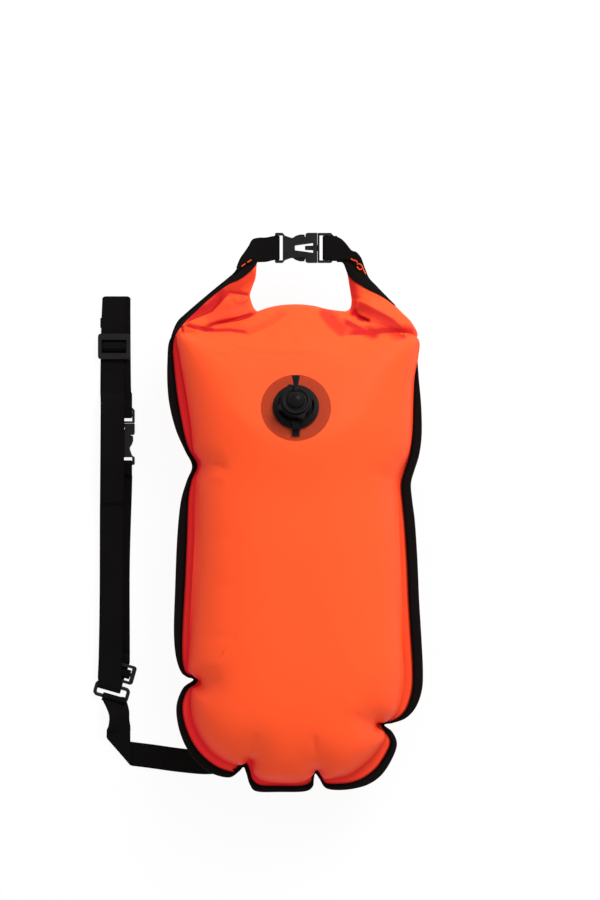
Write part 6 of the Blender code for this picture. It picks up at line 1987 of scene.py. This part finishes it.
flap_z = -STEM_DEPTH - CLEARANCE - FLAP_THICKNESS
flap_edge = stem - CORNER_ROUND
flap_profile = ((0.0006, flap_z), (flap_edge, flap_z), (flap_edge, flap_z + FLAP_THICKNESS / 2),
                (stem - STEM_WALL, flap_z + FLAP_THICKNESS), (0.0006, flap_z + FLAP_THICKNESS))
on_valve("valve_rubber_flap", turned(rounded_profile(flap_profile, False, 0.0002), False), black_rubber,
         "valve_body", "valve_flap")
print("lobes:", round((LOBE_RADIUS + LOBE_REACH) * 2000, 1), "mm across")

# %% [markdown]
# ## The cap
#
# A plug closes the mouthpiece, and a ball-like dome stands in a shallow groove on top, because
# that is where a thumb presses it shut.

# %% Cap with its plug
CAP_RADIUS = 0.0140
CAP_THICKNESS = 0.0036
CAP_DOME_RADIUS = 0.0086
CAP_DOME_HEIGHT = 0.0068
PLUG_RADIUS = 0.0080
PLUG_DEPTH = 0.0060
GROOVE_DEPTH = 0.0010
GROOVE_RIM = 0.0025
GROOVE_WALL = 0.0030
DOME_ENDS = (0.12, math.pi / 2 - 0.04)
DOME_POWER = 0.9

cap_low = LOBE_Z + LOBE_THICKNESS + CLEARANCE
cap_high = cap_low + CAP_THICKNESS
groove = cap_high - GROOVE_DEPTH
cap_dome = [(CAP_DOME_RADIUS * math.cos(t), cap_high + CAP_DOME_HEIGHT * math.sin(t) ** DOME_POWER)
            for t in np.linspace(*DOME_ENDS, 14)]
cap_profile = ((0.0004, cap_low - PLUG_DEPTH), (PLUG_RADIUS, cap_low - PLUG_DEPTH), (PLUG_RADIUS, cap_low),
               (CAP_RADIUS, cap_low), (CAP_RADIUS, cap_high), (CAP_RADIUS - GROOVE_RIM, cap_high),
               (CAP_RADIUS - GROOVE_WALL, groove), (CAP_DOME_RADIUS, groove))
smooth_cap = rounded_profile(cap_profile, False, 0.0006) + [np.array(p) for p in cap_dome]
on_valve("valve_domed_cap", turned(smooth_cap, False), valve_plastic, "valve_cap",
         "valve_cap")
print("cap:", round(CAP_RADIUS * 2000, 1), "mm across")

# %% [markdown]
# ## Pull tab and retainer
#
# A soft ribbed tab lifts the cap, and a ribbed strap on the other side keeps it from being lost.
# Both are swept along a few places of distance from the axis, height and width, and the ribs are
# a small wave in their thickness.

# %% Pull tab and retainer
TAB_THICKNESS = 0.0013
TAB_WIDTH = 0.0046
TAB_FLARE = 0.0082
RETAINER_WIDTH = 0.0076
RIB_STEP = 0.0016
RIB_DEPTH = 0.00028
RIB_FADE = 12.0


def ribbed_strap(rows, side, first_rib, last_rib, steps=22):
    """Points and faces of a moulded strap across the valve, with ribs on a part of its length."""
    rows = smooth_rows(rows, steps)
    y, z, width = rows[:, 0] * side, rows[:, 1], rows[:, 2]
    run = np.stack((np.gradient(y), np.gradient(z)), axis=1)
    length = np.concatenate(([0.0], np.cumsum(np.hypot(np.diff(y), np.diff(z)))))
    run /= np.maximum(np.linalg.norm(run, axis=1), 1e-9)[:, None]
    out = np.stack((-run[:, 1], run[:, 0]), axis=1) * side
    share = length / length[-1]
    ribbed = (np.clip((share - first_rib) * RIB_FADE, 0.0, 1.0)
              * np.clip((last_rib - share) * RIB_FADE, 0.0, 1.0))
    rib = RIB_DEPTH * ribbed * np.sin(2.0 * math.pi * length / RIB_STEP)
    section = ((0.5, 0.30), (0.44, 0.5), (0.25, 0.5), (0.0, 0.5), (-0.25, 0.5), (-0.44, 0.5), (-0.5, 0.30),
               (-0.5, -0.30), (-0.44, -0.5), (0.0, -0.5), (0.44, -0.5), (0.5, -0.30))
    points = []
    for i in range(len(y)):
        for across, high in section:
            rise = high * TAB_THICKNESS + (rib[i] if high > 0.4 else 0.0)
            points.append((across * width[i], y[i] + out[i, 0] * rise, z[i] + out[i, 1] * rise))
    return points, tube_faces(len(y), len(section))


tab_low = cap_high + CLEARANCE + TAB_THICKNESS / 2
tab_rows = ((CAP_DOME_RADIUS + CLEARANCE, tab_low, TAB_WIDTH),
            (CAP_RADIUS - TAB_THICKNESS, tab_low + CLEARANCE, TAB_WIDTH),
            (CAP_RADIUS + TAB_WIDTH / 2, tab_low - TAB_THICKNESS / 2, TAB_WIDTH * 1.1),
            (CAP_RADIUS + TAB_WIDTH * 1.7, tab_low - TAB_WIDTH * 0.7, TAB_WIDTH * 1.35),
            (CAP_RADIUS + TAB_WIDTH * 3.0, tab_low - TAB_WIDTH * 1.3, TAB_FLARE))
on_valve("valve_ribbed_tab", ribbed_strap(tab_rows, 1.0, 0.30, 0.92), valve_plastic, "valve_cap",
         "valve_pull_tab")
rest = WELD_THICKNESS + CLEARANCE + TAB_THICKNESS / 2
over_rim = BASE_HEIGHT + CLEARANCE + TAB_THICKNESS / 2
inner = base_shelf - 3 * CLEARANCE - TAB_THICKNESS / 2
retainer_rows = ((inner, base_step + CLEARANCE + TAB_THICKNESS, RETAINER_WIDTH),
                 (inner, over_rim - BASE_STEP / 2, RETAINER_WIDTH),
                 (base_shelf + CORNER_ROUND, over_rim + CLEARANCE, RETAINER_WIDTH),
                 (base_rim + CORNER_ROUND, over_rim, RETAINER_WIDTH),
                 (BASE_RADIUS, base_step + BASE_STEP + TAB_THICKNESS, RETAINER_WIDTH),
                 (BASE_RADIUS + TAB_THICKNESS + CLEARANCE * 2, base_low + TAB_THICKNESS, RETAINER_WIDTH),
                 (BASE_RADIUS + RETAINER_WIDTH, rest, RETAINER_WIDTH))
on_valve("valve_ribbed_retainer", ribbed_strap(retainer_rows, -1.0, 0.42, 0.97), valve_plastic, "buoy",
         "valve_retainer")
print("tab and retainer made")
